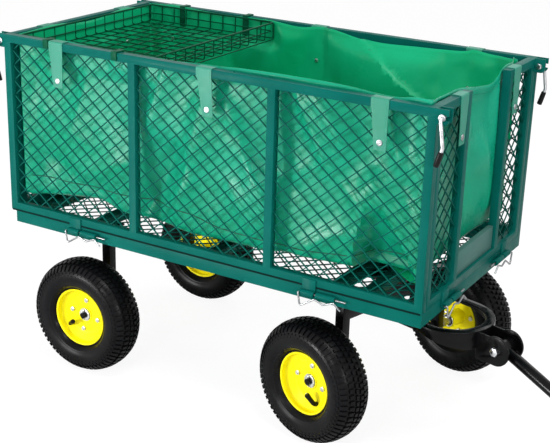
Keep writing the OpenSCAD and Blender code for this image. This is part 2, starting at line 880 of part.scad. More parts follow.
// Flat hooks from the basket's side over the side rails
module basket_hooks() {
    t = 3;
    color([0.0, 0.30, 0.22]) cart() for (s = [0, 1]) mirror([0, s, 0])
        for (x = hook_x) translate([x - hook_w / 2, 0, 0]) {
            block([0, -basket_y - t, basket_top - basket_h], [hook_w, -basket_y, top_z + touch + t]);
            block([0, -half_w - t - touch, top_z + touch], [hook_w, -basket_y, top_z + touch + t]);
            block([0, -half_w - t - touch, top_z - 18], [hook_w, -half_w - touch, top_z + touch + t]);
        }
}

// ---------- wheels ----------

// Puts a wheel drawn at the origin, with its outer face towards -Y, at each corner
module at_front_near() { steered() translate([0, -track_half, wheel_r]) children(); }
module at_front_far() { steered() mirror([0, 1, 0]) translate([0, -track_half, wheel_r]) children(); }
module at_rear_near() { cart() translate([-rear_axle_back, -track_half, wheel_r]) children(); }
module at_rear_far() { cart() mirror([0, 1, 0]) translate([-rear_axle_back, -track_half, wheel_r])
    children(); }

// Turns a profile drawn as [radius, height], where +height is the wheel's outer side, about the axle
module turned() {
    rotate([90, 0, 0]) rotate_extrude($fn = 128) children();
}

module tyre() {
    hw = tyre_w / 2;
    hr = rim_w / 2;
    sec = wheel_r - rim_d / 2;
    outer = [[0.767, 0.94], [0.548, 1], [0.342, 0.96], [0.164, 0.822], [0.055, 0.584], [0.014, 0.307],
             [0, 0.12]];
    inner = [[0.575, 0.842], [0.301, 0.762], [0.164, 0.406]];
    n = len(outer);
    m = len(inner);
    color(black) turned() polygon(concat(
        [[bead_r, -hr + rim_t], [bead_r + 6, -hr + rim_t], [rim_d / 2 + 1, -hr]],
        [for (p = outer) [wheel_r - p[0] * sec, -p[1] * hw]],
        [for (i = [n - 1 : -1 : 0]) [wheel_r - outer[i][0] * sec, outer[i][1] * hw]],
        [[rim_d / 2 + 1, hr], [bead_r + 6, hr - rim_t], [bead_r, hr - rim_t], [bead_r, hr - 14],
         [bead_r + 10, hr - 10]],
        [for (p = inner) [wheel_r - p[0] * sec, p[1] * hw]],
        [for (i = [m - 1 : -1 : 0]) [wheel_r - inner[i][0] * sec, -inner[i][1] * hw]],
        [[bead_r + 10, -hr + 10], [bead_r, -hr + 14]]
    ));
}

// The two halves of a rim meet on this plane, towards the wheel's outer side
seam = 5;

module bolt_circle() {
    for (i = [0 : rim_bolts - 1]) rotate([0, 360 / rim_bolts * i + rim_turn, 0])
        translate([rim_bolt_r, 0, 0]) children();
}

// One pressed half of the rim, bolt disc to flange; side = 1 for the outer half, -1 for the inner one
module rim_half(side) {
    e = side * rim_w / 2;
    t = side * rim_t;
    difference() {
        turned() polygon([
            [hub_r + run, seam], [hub_r + run, seam + t], [rim_bolt_r + 12, seam + t],
                [bead_r - rim_t, e - side * 15],
            [bead_r - rim_t, e], [rim_d / 2, e], [rim_d / 2, e - t], [bead_r, e - t],
                [bead_r, e - side * 16],
            [rim_bolt_r + 14, seam]
        ]);
        bolt_circle() rod_y(rim_bolt_d / 2 + run, -seam - 2 * rim_t, -seam + 2 * rim_t);
    }
}

// Hub tube with its flange behind the rim and a bearing in each end
module hub() {
    seat = bearing_d / 2;
    color([0.95, 0.85, 0.05]) difference() {
        turned() polygon([
            [axle_r + 4, bearing_w - hub_in], [seat, bearing_w - hub_in], [seat, -hub_in], [hub_r, -hub_in],
            [hub_r, seam - rim_t - 3], [rim_bolt_r + 8, seam - rim_t - 3], [rim_bolt_r + 8, seam - rim_t],
            [hub_r, seam - rim_t], [hub_r, hub_out], [seat, hub_out], [seat, hub_out - bearing_w],
            [axle_r + 4, hub_out - bearing_w]
        ]);
        bolt_circle() rod_y(rim_bolt_d / 2 + run, -seam, -seam + 2 * rim_t + 5);
    }
    color(steel) for (h = [-hub_in, hub_out - bearing_w]) turned()
        translate([axle_r + run, h]) square([seat - 0.02 - axle_r - run, bearing_w]);
}

// Bolts and nuts through both halves and the hub's flange
module wheel_bolts() {
    back = seam - rim_t - 3;
    color(steel) bolt_circle() {
        rod_y(rim_bolt_d / 2, -seam - rim_t - 2, -back + 7);
        translate([0, -seam - rim_t - 5, 0]) rotate([-90, 0, 0])
            cylinder(r = 0.9 * rim_bolt_d, h = 5, $fn = 6);
        translate([0, -back, 0]) rotate([-90, 0, 0]) cylinder(r = 0.9 * rim_bolt_d, h = 6, $fn = 6);
    }
}

module rim_yellow(side) {
    color([0.95, 0.85, 0.05]) rim_half(side);
}

module tyre_front_near() { at_front_near() tyre(); }
module tyre_front_far() { at_front_far() tyre(); }
module tyre_rear_near() { at_rear_near() tyre(); }
module tyre_rear_far() { at_rear_far() tyre(); }
module rim_outer_front_near() { at_front_near() rim_yellow(1); }
module rim_outer_front_far() { at_front_far() rim_yellow(1); }
module rim_outer_rear_near() { at_rear_near() rim_yellow(1); }
module rim_outer_rear_far() { at_rear_far() rim_yellow(1); }
module rim_inner_front_near() { at_front_near() rim_yellow(-1); }
module rim_inner_front_far() { at_front_far() rim_yellow(-1); }
module rim_inner_rear_near() { at_rear_near() rim_yellow(-1); }
module rim_inner_rear_far() { at_rear_far() rim_yellow(-1); }
module hub_front_near() { at_front_near() hub(); }
module hub_front_far() { at_front_far() hub(); }
module hub_rear_near() { at_rear_near() hub(); }
module hub_rear_far() { at_rear_far() hub(); }
module rim_bolts_front_near() { at_front_near() wheel_bolts(); }
module rim_bolts_front_far() { at_front_far() wheel_bolts(); }
module rim_bolts_rear_near() { at_rear_near() wheel_bolts(); }
module rim_bolts_rear_far() { at_rear_far() wheel_bolts(); }

deck_frame();
deck_mesh();
deck_hinge_sleeves();
rear_legs();
rear_axle();
rear_axle_fittings();
frame_bolts();
steering_plate();
kingpin();
turntable_washer();
steering_yoke();
steering_hoop();
clevis_ears();
front_axle();
front_axle_fittings();
clevis_bolt();
drawbar_tube();
drawbar_eye();
drawbar_handle();
handle_grip();
near_side_frame();
near_side_mesh();
far_side_frame();
far_side_mesh();
front_gate_frame();
front_gate_mesh();
front_gate_plate();
rear_gate_frame();
rear_gate_mesh();
latch_lever_front_near();
latch_lever_front_far();
latch_lever_rear_near();
latch_lever_rear_far();
spring_clips();
liner();
side_straps();
front_straps();
rear_straps();
basket();
basket_hooks();
tyre_front_near();
tyre_front_far();
tyre_rear_near();
tyre_rear_far();
rim_outer_front_near();
rim_outer_front_far();
rim_outer_rear_near();
rim_outer_rear_far();
rim_inner_front_near();
rim_inner_front_far();
rim_inner_rear_near();
rim_inner_rear_far();
hub_front_near();
hub_front_far();
hub_rear_near();
hub_rear_far();
rim_bolts_front_near();
rim_bolts_front_far();
rim_bolts_rear_near();
rim_bolts_rear_far();
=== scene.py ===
# %% [markdown]
# # A garden cart, dressed
# The cart's solids are loaded as a fixed frame in metres, +X to the drawbar and +Z up. Each step then
# gives a piece its real finish, or makes a finer piece that stands for a plain solid.

# %% Load the frame
import bpy
import math
from mathutils import Matrix, Vector, noise


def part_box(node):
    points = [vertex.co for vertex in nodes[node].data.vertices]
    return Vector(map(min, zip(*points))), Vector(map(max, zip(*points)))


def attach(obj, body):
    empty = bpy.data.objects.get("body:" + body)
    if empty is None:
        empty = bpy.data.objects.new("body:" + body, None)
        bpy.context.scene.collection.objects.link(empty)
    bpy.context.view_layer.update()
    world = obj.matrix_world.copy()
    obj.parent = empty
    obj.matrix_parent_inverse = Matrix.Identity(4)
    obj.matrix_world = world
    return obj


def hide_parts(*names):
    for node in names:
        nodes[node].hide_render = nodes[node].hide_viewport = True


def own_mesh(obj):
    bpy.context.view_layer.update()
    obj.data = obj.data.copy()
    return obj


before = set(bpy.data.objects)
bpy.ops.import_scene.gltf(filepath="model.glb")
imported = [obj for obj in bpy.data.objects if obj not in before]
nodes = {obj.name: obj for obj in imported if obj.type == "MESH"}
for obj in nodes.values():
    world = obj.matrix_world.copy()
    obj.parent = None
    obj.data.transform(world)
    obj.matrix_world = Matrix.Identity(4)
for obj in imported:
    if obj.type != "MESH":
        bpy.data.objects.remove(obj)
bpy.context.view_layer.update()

# %% [markdown]
# Places come from the solids' own boxes, so the pieces made here sit where the solids are. The side
# panels give the length and height, and the deck gives the middle of the panels.

# %% Measure the cart
side_low, side_high = (Vector(c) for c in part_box("near_side_mesh"))
deck_low, deck_high = (Vector(c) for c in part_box("deck_frame"))
TUBE = 0.020
panel_x0 = side_low.x - TUBE
panel_x1 = side_high.x + TUBE
mid_x = (panel_x0 + panel_x1) / 2
half_w = -deck_low.y
inner_y = half_w - TUBE
deck_top = deck_high.z
top_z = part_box("rear_gate_frame")[1][2]
WHEELS = ("front_near", "front_far", "rear_near", "rear_far")
print("panels %.3f long, %.3f wide, top at %.3f" % (panel_x1 - panel_x0, 2 * half_w, top_z))

# %% [markdown]
# Operators act on all that is selected, and the solids come in selected. These helpers select one piece
# alone, switch to edit mode and back, and put a finished piece in place with its finish and its body.

# %% Helpers for selecting and finishing
def only(obj):
    if bpy.context.object and bpy.context.object.mode != "OBJECT":
        bpy.ops.object.mode_set(mode="OBJECT")
    bpy.ops.object.select_all(action="DESELECT")
    obj.select_set(True)
    bpy.context.view_layer.objects.active = obj


def edit(obj, pick="SELECT"):
    only(obj)
    bpy.ops.object.mode_set(mode="EDIT")
    bpy.ops.mesh.select_all(action=pick)


def done():
    bpy.ops.object.mode_set(mode="OBJECT")


def settle(obj):
    """Turns and sizes go into the mesh, and the object ends at the origin."""
    only(obj)
    bpy.ops.object.transform_apply(location=True, rotation=True, scale=True)
    return obj


def join(name, parts):
    """Several meshes become one piece with that name."""
    only(parts[0])
    for p in parts:
        p.select_set(True)
    bpy.ops.object.join()
    piece = bpy.context.object
    piece.name = name
    piece.data.name = name
    return settle(piece)


def smooth(obj, angle=35):
    only(obj)
    bpy.ops.object.shade_smooth_by_angle(angle=math.radians(angle))


def paint(obj, *finishes):
    obj.data.materials.clear()
    for f in finishes:
        obj.data.materials.append(f)


def place(obj, body, slot, *solids):
    """The piece rides on a body and stands for the named solids; the slot is not used."""
    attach(obj, body)
    if solids:
        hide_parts(*solids)
    return obj


def modify(obj, kind, **values):
    only(obj)
    m = obj.modifiers.new(kind.lower(), kind)
    for k, v in values.items():
        setattr(m, k, v)
    bpy.ops.object.modifier_apply(modifier=m.name)


def linked(name, data):
    """A new object with that data, put in the scene."""
    obj = bpy.data.objects.new(name, data)
    bpy.context.scene.collection.objects.link(obj)
    return obj


def meshed(name, verts, edges, faces):
    mesh = bpy.data.meshes.new(name)
    mesh.from_pydata(verts, edges, faces)
    return linked(name, mesh)


def about(axis, degrees):
    """A turn about X, Y or Z through the origin."""
    return Matrix.Rotation(math.radians(degrees), 4, axis)


at = Matrix.Translation
print("helpers ready")

# %% [markdown]
# A finish is a Principled shader fed by noise in object coordinates, so that it stays on the piece from
# every side. Paint gets a faint orange peel and uneven gloss, because a flat colour looks like plastic.

# %% Finishes: the node helpers
class Finish:
    """A Principled material with short ways to add noise, ramps, mixes and bump."""

    def __init__(self, name, colour, rough, metal=0.0, **sockets):
        self.mat = bpy.data.materials.new(name)
        self.mat.use_nodes = True
        self.nt = self.mat.node_tree
        self.bsdf = self.nt.nodes["Principled BSDF"]
        self.bsdf.inputs["Base Color"].default_value = (*colour, 1)
        self.bsdf.inputs["Roughness"].default_value = rough
        self.bsdf.inputs["Metallic"].default_value = metal
        for k, v in sockets.items():
            self.bsdf.inputs[k.replace("_", " ")].default_value = v
        self.coords = self.nt.nodes.new("ShaderNodeTexCoord").outputs["Object"]
        self.height = None

    def node(self, kind, **values):
        n = self.nt.nodes.new("ShaderNode" + kind)
        for k, v in values.items():
            setattr(n, k, v)
        return n

    def feed(self, socket, value):
        if isinstance(value, bpy.types.NodeSocket):
            self.nt.links.new(value, socket)
        else:
            socket.default_value = value

    def noise(self, scale, detail=3.0, rough=0.5, out="Fac"):
        n = self.node("TexNoise")
        n.inputs["Scale"].default_value = scale
        n.inputs["Detail"].default_value = detail
        n.inputs["Roughness"].default_value = rough
        self.feed(n.inputs["Vector"], self.coords)
        return n.outputs[out]

    def ramp(self, value, low, high, to_low=0.0, to_high=1.0):
        n = self.node("MapRange")
        sockets = ("Value", "From Min", "From Max", "To Min", "To Max")
        for k, v in zip(sockets, (value, low, high, to_low, to_high)):
            self.feed(n.inputs[k], v)
        return n.outputs[0]

    def maths(self, op, a, b):
        n = self.node("Math", operation=op)
        self.feed(n.inputs[0], a)
        self.feed(n.inputs[1], b)
        return n.outputs[0]

    def mix(self, factor, a, b):
        n = self.node("Mix", data_type="RGBA")
        self.feed(n.inputs[0], factor)
        self.feed(n.inputs[6], a if isinstance(a, bpy.types.NodeSocket) else (*a, 1))
        self.feed(n.inputs[7], b if isinstance(b, bpy.types.NodeSocket) else (*b, 1))
        return n.outputs[2]

    def set(self, socket, value):
        self.feed(self.bsdf.inputs[socket], value)

    def bump(self, height, distance, strength=1.0):
        n = self.node("Bump")
        n.inputs["Strength"].default_value = strength
        n.inputs["Distance"].default_value = distance
        self.feed(n.inputs["Height"], height)
        if self.height:
            self.feed(n.inputs["Normal"], self.height)
        self.height = n.outputs[0]
        self.set("Normal", self.height)


def painted(name, colour, rough, peel=0.00006, gloss=0.036):
    """Powder coat: a little darker and lighter in patches, with orange peel."""
    f = Finish(name, colour, rough, Specular_IOR_Level=gloss)
    patch = f.ramp(f.noise(7.0, 4.0), 0.3, 0.7)
    deep = tuple(c * 0.86 for c in colour)
    pale = tuple(min(c * 1.08 + 0.001, 1) for c in colour)
    f.set("Base Color", f.mix(patch, deep, pale))
    f.set("Roughness", f.ramp(f.noise(22.0, 3.0), 0.3, 0.7, rough - 0.07, rough + 0.09))
    f.bump(f.noise(900.0, 1.0), peel, 0.5)
    return f.mat


frame_paint = painted("frame_paint", (0.001, 0.104, 0.085), 0.34)
mesh_paint = painted("mesh_paint", (0.001, 0.085, 0.066), 0.42)
plate_paint = painted("plate_paint", (0.075, 0.175, 0.155), 0.40)
rim_paint = painted("rim_paint", (0.96, 0.83, 0.006), 0.30, 0.00004, 0.14)
basket_paint = painted("basket_paint", (0.002, 0.075, 0.036), 0.38)
black_paint = painted("black_paint", (0.002, 0.002, 0.0025), 0.20, 0.00008, 0.14)
print("painted finishes:", 6)

# %% [markdown]
# Zinc-plated steel is bright and faintly cloudy. Rubber is nearly black and dull, and the soft black
# sleeves are a little glossier than the tyres.

# %% Finishes: steel and rubber
def plated(name, colour, rough):
    f = Finish(name, colour, rough, 1.0)
    f.set("Roughness", f.ramp(f.noise(60.0, 3.0), 0.3, 0.7, rough - 0.08, rough + 0.12))
    f.set("Base Color", f.mix(f.noise(35.0), tuple(c * 0.85 for c in colour), colour))
    f.bump(f.noise(500.0, 2.0), 0.00003, 0.4)
    return f.mat


def rubbery(name, colour, rough, grain=420.0):
    f = Finish(name, colour, rough, Specular_IOR_Level=0.10)
    f.set("Roughness", f.ramp(f.noise(25.0, 4.0), 0.3, 0.7, rough - 0.1, rough + 0.08))
    f.set("Base Color", f.mix(f.ramp(f.noise(9.0, 5.0), 0.35, 0.75), colour,
                              tuple(c * 1.6 + 0.002 for c in colour)))
    f.bump(f.noise(grain, 2.0), 0.00012, 0.5)
    return f.mat


zinc = plated("zinc_steel", (0.70, 0.71, 0.73), 0.28)
wire_zinc = plated("clip_zinc", (0.34, 0.35, 0.36), 0.30)
bearing_steel = plated("bearing_steel", (0.78, 0.78, 0.80), 0.20)
tyre_rubber = rubbery("tyre_rubber", (0.003, 0.003, 0.0036), 0.33)
soft_black = rubbery("soft_black_vinyl", (0.006, 0.006, 0.006), 0.34, 200.0)
print("steel and rubber finishes:", 5)

# %% [markdown]
# The liner is woven tarpaulin with a shiny coating. The weave is very fine, so it is a bump of two crossed
# waves, and the coat makes the pale sheen where a fold turns to the light. Creases finer than the mesh
# are a crumpled noise in the bump.

# %% Finishes: the liner's cloth
def tarpaulin(name, colour, rough, gloss):
    f = Finish(name, colour, rough, Specular_IOR_Level=gloss)
    patch = f.ramp(f.noise(3.0, 5.0, 0.6), 0.3, 0.7)
    deep = (colour[0] * 0.7, colour[1] * 0.86, colour[2] * 0.78)
    pale = (colour[0] + 0.006, min(colour[1] * 1.10, 1), colour[2] * 1.22)
    f.set("Base Color", f.mix(patch, deep, pale))
    f.set("Roughness", f.ramp(f.noise(14.0, 4.0), 0.3, 0.7, rough - 0.07, rough + 0.12))
    crumple = f.node("TexVoronoi", feature="DISTANCE_TO_EDGE")
    crumple.inputs["Scale"].default_value = 16.0
    warp = f.node("VectorMath", operation="ADD")
    small = f.node("VectorMath", operation="SCALE")
    small.inputs["Scale"].default_value = 0.16
    f.feed(small.inputs[0], f.noise(9.0, 2.0, 0.5, "Color"))
    f.feed(warp.inputs[0], f.coords)
    f.feed(warp.inputs[1], small.outputs[0])
    f.feed(crumple.inputs["Vector"], warp.outputs[0])
    f.bump(f.ramp(crumple.outputs["Distance"], 0.0, 0.30), 0.0022, 0.11)
    f.bump(f.noise(12.0, 3.0, 0.50), 0.0030, 0.22)
    for threads in ((900, 900, 0), (0, 0, 900)):
        weave = f.node("TexWave", bands_direction="DIAGONAL")
        weave.inputs["Scale"].default_value = 1.0
        m = f.node("Mapping")
        m.inputs["Scale"].default_value = threads
        f.feed(m.inputs["Vector"], f.coords)
        f.feed(weave.inputs["Vector"], m.outputs[0])
        f.bump(weave.outputs["Fac"], 0.00004, 0.5)
    return f.mat


# The outside's colour is set paler than the inside's: a painted sheen. The cloth is the same on both faces.
liner_cloth = tarpaulin("liner_cloth", (0.002, 0.318, 0.178), 0.28, 0.20)
liner_inside = tarpaulin("liner_inside", (0.001, 0.395, 0.170), 0.32, 0.14)
strap_cloth = tarpaulin("strap_cloth", (0.038, 0.248, 0.166), 0.45, 0.20)
thread = Finish("strap_thread", (0.02, 0.28, 0.17), 0.6).mat
# Near-black green for the seam line on the near wall: painted shade of the fold there.
fold_shade_paint = Finish("liner_fold", (0.001, 0.085, 0.050), 0.6).mat
# Near-black finish for the strips under the side panels: a painted shadow of the gap there.
joint_shadow_paint = Finish("joint_shadow", (0.001, 0.014, 0.012), 0.7, Specular_IOR_Level=0.05).mat
print("cloth finishes and dark lines:", 6)

# %% [markdown]
# Some solids already have the right shape: the mesh wires, the axles, the kingpin and its washer. They
# keep their shape and get the finish.

# %% Finish the solids that stay
def finish_solid(name, finish):
    for s in nodes[name].material_slots:
        s.link = "OBJECT"
        s.material = finish


for name in ("deck_mesh", "near_side_mesh", "far_side_mesh", "front_gate_mesh", "rear_gate_mesh"):
    finish_solid(name, mesh_paint)
for name in ("kingpin", "turntable_washer"):
    finish_solid(name, zinc)
for name in ("rear_axle", "front_axle"):
    finish_solid(name, black_paint)
print("solids that stay:", 9)

# %% [markdown]
# Real tube and plate has rounded edges that catch the light. A solid's mesh is loose triangles, so a copy
# of it is merged, its flat faces are joined up, and its sharp edges get a small bevel. Where two edges lie
# too close, the clamp takes the bevel's width from the whole piece: the deck's rails, the far panel, the
# axle fittings and the drawbar's handle stay sharp.

# %% Round the edges of tubes, plates and nuts
def rounded(name, new_name, width, finish, body, slot):
    piece = linked(new_name, nodes[name].data.copy())
    edit(piece)
    bpy.ops.mesh.remove_doubles(threshold=0.00001)
    bpy.ops.mesh.dissolve_limited(angle_limit=math.radians(1.0))
    done()
    modify(piece, "BEVEL", width=width, segments=2, limit_method="ANGLE",
           angle_limit=math.radians(40), use_clamp_overlap=True)
    smooth(piece, 40)
    paint(piece, finish)
    return place(piece, body, slot, name)


TUBES = {
    "deck_frame": ("chassis", "deck_rails"), "deck_hinge_sleeves": ("chassis", "deck_sleeves"),
    "near_side_frame": ("chassis", "near_panel_tubes"), "far_side_frame": ("chassis", "far_panel_tubes"),
    "front_gate_frame": ("front_gate", "front_gate_tubes"),
    "rear_gate_frame": ("rear_gate", "rear_gate_tubes"),
}
for solid, (body, new_name) in TUBES.items():
    piece = rounded(solid, new_name, 0.0026, frame_paint, body, "frame_paint")
    print(new_name, len(piece.data.polygons), "faces")
rounded("front_gate_plate", "front_gate_sill", 0.0008, plate_paint, "front_gate", "plate_paint")
BLACK = {
    "rear_legs": ("chassis", 0.0018), "steering_plate": ("chassis", 0.001),
    "steering_yoke": ("steering", 0.0018), "steering_hoop": ("steering", 0.0012),
    "clevis_ears": ("steering", 0.0012), "drawbar_tube": ("drawbar", 0.0008),
    "drawbar_eye": ("drawbar", 0.001), "drawbar_handle": ("drawbar", 0.0005)}
for solid, (body, width) in BLACK.items():
    rounded(solid, solid + "_dressed", width, black_paint, body, "black_paint")
STEEL = {"rear_axle_fittings": "chassis", "frame_bolts": "chassis",
         "front_axle_fittings": "steering", "clevis_bolt": "steering"}
for solid, body in STEEL.items():
    rounded(solid, solid + "_dressed", 0.0005, zinc, body, "zinc_steel")
print("rounded pieces:", len(TUBES) + 1 + len(BLACK) + len(STEEL))

# %% [markdown]
# Each side panel stands on the deck's rail, and a thin shadow falls in the narrow gap between the two. A slim
# strip with a rounded face, painted near-black and laid along the joint, is that painted shadow.

# %% Joint line under the side panels
LINE_H, LINE_OUT, LINE_DEEP = 0.0044, 0.0010, 0.008
line_l = panel_x1 - panel_x0 - 0.006
joint_shadow_strips = []
for side in (-1, 1):
    bpy.ops.object.select_all(action="DESELECT")
    bpy.ops.mesh.primitive_cube_add(size=1)
    strip = bpy.context.object
    strip.name = "joint_line"
    middle = at((mid_x, side * (half_w + LINE_OUT - LINE_DEEP / 2), deck_top))
    strip.data.transform(middle @ Matrix.Diagonal((line_l, LINE_DEEP, LINE_H, 1)))
    modify(strip, "BEVEL", width=0.0003, segments=2)
    paint(strip, joint_shadow_paint)
    joint_shadow_strips.append(strip)
place(join("panel_joint_lines", joint_shadow_strips), "chassis", "frame_paint")
print("joint lines: %.3f long" % line_l)

# %% [markdown]
# Bent wire and rod have round bends, so a wire is a line of points whose corners are first rounded, and
# the line is then given a round section as a curve and made a mesh.

# %% Helper: bent wire
def rounded_path(points, radius, steps=5, closed=False):
    """The points with each corner replaced by a short arc."""
    points = [Vector(p) for p in points]
    out = []
    n = len(points)
    for i, p in enumerate(points):
        if not closed and i in (0, n - 1):
            out.append(p)
            continue
        a = points[i - 1] - p
        b = points[(i + 1) % n] - p
        turn = math.pi - a.angle(b)
        if turn < 0.02:
            out.append(p)
            continue
        cut = min(radius * math.tan(turn / 2), 0.45 * a.length, 0.45 * b.length)
        s, e = p + a.normalized() * cut, p + b.normalized() * cut
        for k in range(steps + 1):
            t = k / steps
            out.append(s * (1 - t) ** 2 + p * 2 * t * (1 - t) + e * t * t)
    return out


def wire(name, points, radius, bend, closed=False, sides=3):
    curve = bpy.data.curves.new(name, "CURVE")
    curve.dimensions = "3D"
    curve.bevel_depth = radius
    curve.bevel_resolution = sides
    curve.use_fill_caps = True
    path = rounded_path(points, bend, closed=closed)
    spline = curve.splines.new("POLY")
    spline.points.add(len(path) - 1)
    for p, co in zip(spline.points, path):
        p.co = (*co, 1)
    spline.use_cyclic_u = closed
    only(linked(name, curve))
    bpy.ops.object.convert(target="MESH")
    obj = bpy.context.object
    smooth(obj, 50)
    return obj


print("a right angle becomes", len(rounded_path([(0, 0, 0), (1, 0, 0), (1, 1, 0)], 0.1)), "points")

# %% [markdown]
# A spring clip is one wire: a straight leg that goes through the hinge sleeves, a bend, and a wavy leg
# that springs against the outside. There are two on each side and two on each gate.

# %% Spring clips
CLIP_R = 0.00225
SLEEVE_R = 0.0075
CLIP_OUT = SLEEVE_R + CLIP_R + 0.0003
CLIP_L, CLIP_BACK = 0.119, 0.052
CLIP_X, CLIP_Y = 0.342, 0.150
# the wavy leg: how far along the clip, and how high
WAVE = ((0.0, 0.003), (0.006, -0.030), (0.043, -0.006), (0.066, -0.014), (0.092, -0.003), (0.110, -0.018))
HINGE_OUT, HINGE_DROP = 0.008, 0.015
hinge_z = deck_top - HINGE_DROP
half_l = (panel_x1 - panel_x0) / 2


def clip_at(start, along, outward):
    """A clip whose straight leg starts at start and runs along; the wave stands outward of it."""
    start, along, outward = Vector(start), Vector(along), Vector(outward)
    path = [start + along * CLIP_L, start]
    path += [start + along * a + outward * CLIP_OUT + Vector((0, 0, z)) for a, z in WAVE]
    return wire("clip", path, CLIP_R * 0.98, 0.005)


clips = []
for sx in (-1, 1):
    for sy in (-1, 1):
        side_place = (mid_x + sx * CLIP_X - CLIP_BACK, sy * (half_w + HINGE_OUT), hinge_z)
        end_place = (mid_x + sx * (half_l + HINGE_OUT), sy * (-CLIP_Y - CLIP_BACK), hinge_z)
        clips.append(clip_at(side_place, (1, 0, 0), (0, sy, 0)))
        clips.append(clip_at(end_place, (0, sy, 0), (sx, 0, 0)))
spring_clips = join("spring_clips_wire", clips)
paint(spring_clips, wire_zinc)
place(spring_clips, "chassis", "zinc_steel", "spring_clips")
print("spring clips:", len(clips))

# %% [markdown]
# Each corner has a bent lever: a zinc rod that runs through both brackets and hangs outside, with a nut
# on its inner end, a collar, and a black sleeve on its tail.

# %% Latch levers
def nut_mesh(name, radius, height):
    """A hexagonal nut along Z from 0 to height, with chamfered corners."""
    bpy.ops.mesh.primitive_cylinder_add(vertices=6, radius=radius, depth=height, location=(0, 0, height / 2))
    nut = bpy.context.object
    nut.name = name
    modify(settle(nut), "BEVEL", width=radius * 0.09, segments=2,
           limit_method="ANGLE", angle_limit=math.radians(50))
    smooth(nut, 35)
    return nut


def turned(name, profile, steps=48, axis=(0, 1, 0)):
    """A profile of (radius, height along the axis) spun about Y (or Z) through the origin."""
    up = Vector(axis)
    verts = [Vector((r, 0, 0)) + up * h for r, h in profile]
    closed = profile[0][0] > 1e-6 or profile[-1][0] > 1e-6
    edges = [(i, i + 1) for i in range(len(verts) - 1)] + ([(len(verts) - 1, 0)] if closed else [])
    obj = meshed(name, verts, edges, [])
    edit(obj)
    bpy.ops.mesh.spin(steps=steps, angle=2 * math.pi, center=(0, 0, 0), axis=axis)
    bpy.ops.mesh.select_all(action="SELECT")
    bpy.ops.mesh.remove_doubles(threshold=0.000005)
    bpy.ops.mesh.normals_make_consistent(inside=False)
    done()
    smooth(obj, 38)
    return obj


def moved(obj, matrix):
    obj.data.transform(matrix)
    if matrix.determinant() < 0:
        obj.data.flip_normals()
    return obj


def twin(obj, name):
    return linked(name, obj.data.copy())


LEVER_Y = half_w + 0.010
BOLT_X, BOLT_DROP = 0.602, 0.018
LEVER_DROP, LEVER_R, LEVER_SWAY = 0.062, 0.004, 9
TAIL_LEAN = 25
tail = about("Y", TAIL_LEAN) @ Vector((0, 0, -0.010))
rod = wire("lever_rod", [(0, 0.0413, 0), (0, 0, 0), (0, 0, -LEVER_DROP), (tail.x, 0, tail.z - LEVER_DROP)],
           LEVER_R, 0.009, sides=4)
nut = moved(nut_mesh("lever_nut", 0.0079, 0.0063), at((0, 0.0411, 0)) @ about("X", -90) @ at((0, 0, -0.0063)))
collar = turned("lever_collar", [(0.0040, 0.0065), (0.0074, 0.0067), (0.0076, 0.0070), (0.0076, 0.0090),
                                 (0.0074, 0.0094), (0.0040, 0.0095)], 32)
sleeve = turned("lever_sleeve", [(0.0, 0.0), (0.0056, 0.0), (0.0063, 0.0010), (0.0064, 0.012),
                                 (0.0060, 0.031), (0.0052, 0.0338), (0.0, 0.0340)], 28, (0, 0, 1))
moved(sleeve, at((0, 0, -LEVER_DROP)) @ about("Y", TAIL_LEAN) @ at((0, 0, -0.042)))
for part in (rod, nut, collar):
    paint(part, zinc)
paint(sleeve, soft_black)
lever_master = moved(join("lever", [rod, nut, collar, sleeve]), about("Y", -LEVER_SWAY))
for w in WHEELS:
    sx = 1 if w.startswith("front") else -1
    sy = 1 if w.endswith("near") else -1
    lever = twin(lever_master, "lever_" + w)
    corner = at((mid_x + sx * BOLT_X, -sy * LEVER_Y, top_z - BOLT_DROP))
    moved(lever, corner @ Matrix.Diagonal((sx, sy, 1, 1)))
    place(lever, "lever_" + w, "zinc_steel", "latch_lever_" + w)
bpy.data.objects.remove(lever_master)
print("levers:", len(WHEELS))

# %% [markdown]
# A cart tyre is a round carcass with a block tread. The carcass is a profile spun round the axle, and
# the blocks are its own faces: some are picked in a pattern, inset a little and raised.

# %% Tyre
CARCASS = [
    (0.0750, 0.0190), (0.0752, 0.0285), (0.0765, 0.0302), (0.0812, 0.0305), (0.0828, 0.0335),
    (0.0850, 0.0385), (0.0895, 0.0425), (0.0905, 0.0438), (0.0925, 0.0440), (0.0945, 0.0452),
    (0.1000, 0.0474), (0.1070, 0.0489), (0.1130, 0.0493), (0.1165, 0.0491), (0.1215, 0.0484),
    (0.1235, 0.0478), (0.1290, 0.0458), (0.1315, 0.0443), (0.1360, 0.0405), (0.1398, 0.0360),
    (0.1428, 0.0305), (0.1445, 0.0262), (0.1462, 0.0200), (0.1472, 0.0140), (0.1474, 0.0118),
    (0.1477, 0.0070), (0.1478, 0.0022)]
# each ring of blocks: its first and last point of the carcass, how far it stands up, its shift round
RINGS = [(13, 14, 0.0010, 0), (15, 16, 0.0017, 1), (17, 20, 0.0039, 0), (21, 23, 0.0046, 1),
         (24, 26, 0.0052, 2)]
BLOCKS = 63
STEPS = BLOCKS * 3
# a face's centre lies inside its circle by this much
CHORD = 1.00014
tyre = turned("tyre", [(r, -h) for r, h in CARCASS] + [(r, h) for r, h in reversed(CARCASS)], STEPS)


def ring_of(r, h):
    """The ring that a point of the carcass at radius r and height h belongs to."""
    for ring in RINGS:
        (r0, h0), (r1, h1) = CARCASS[ring[0]], CARCASS[ring[1]]
        if r0 - 0.0002 < r < r1 + 0.0002 and h1 - 0.0002 < abs(h) < h0 + 0.0002:
            return ring
    return None


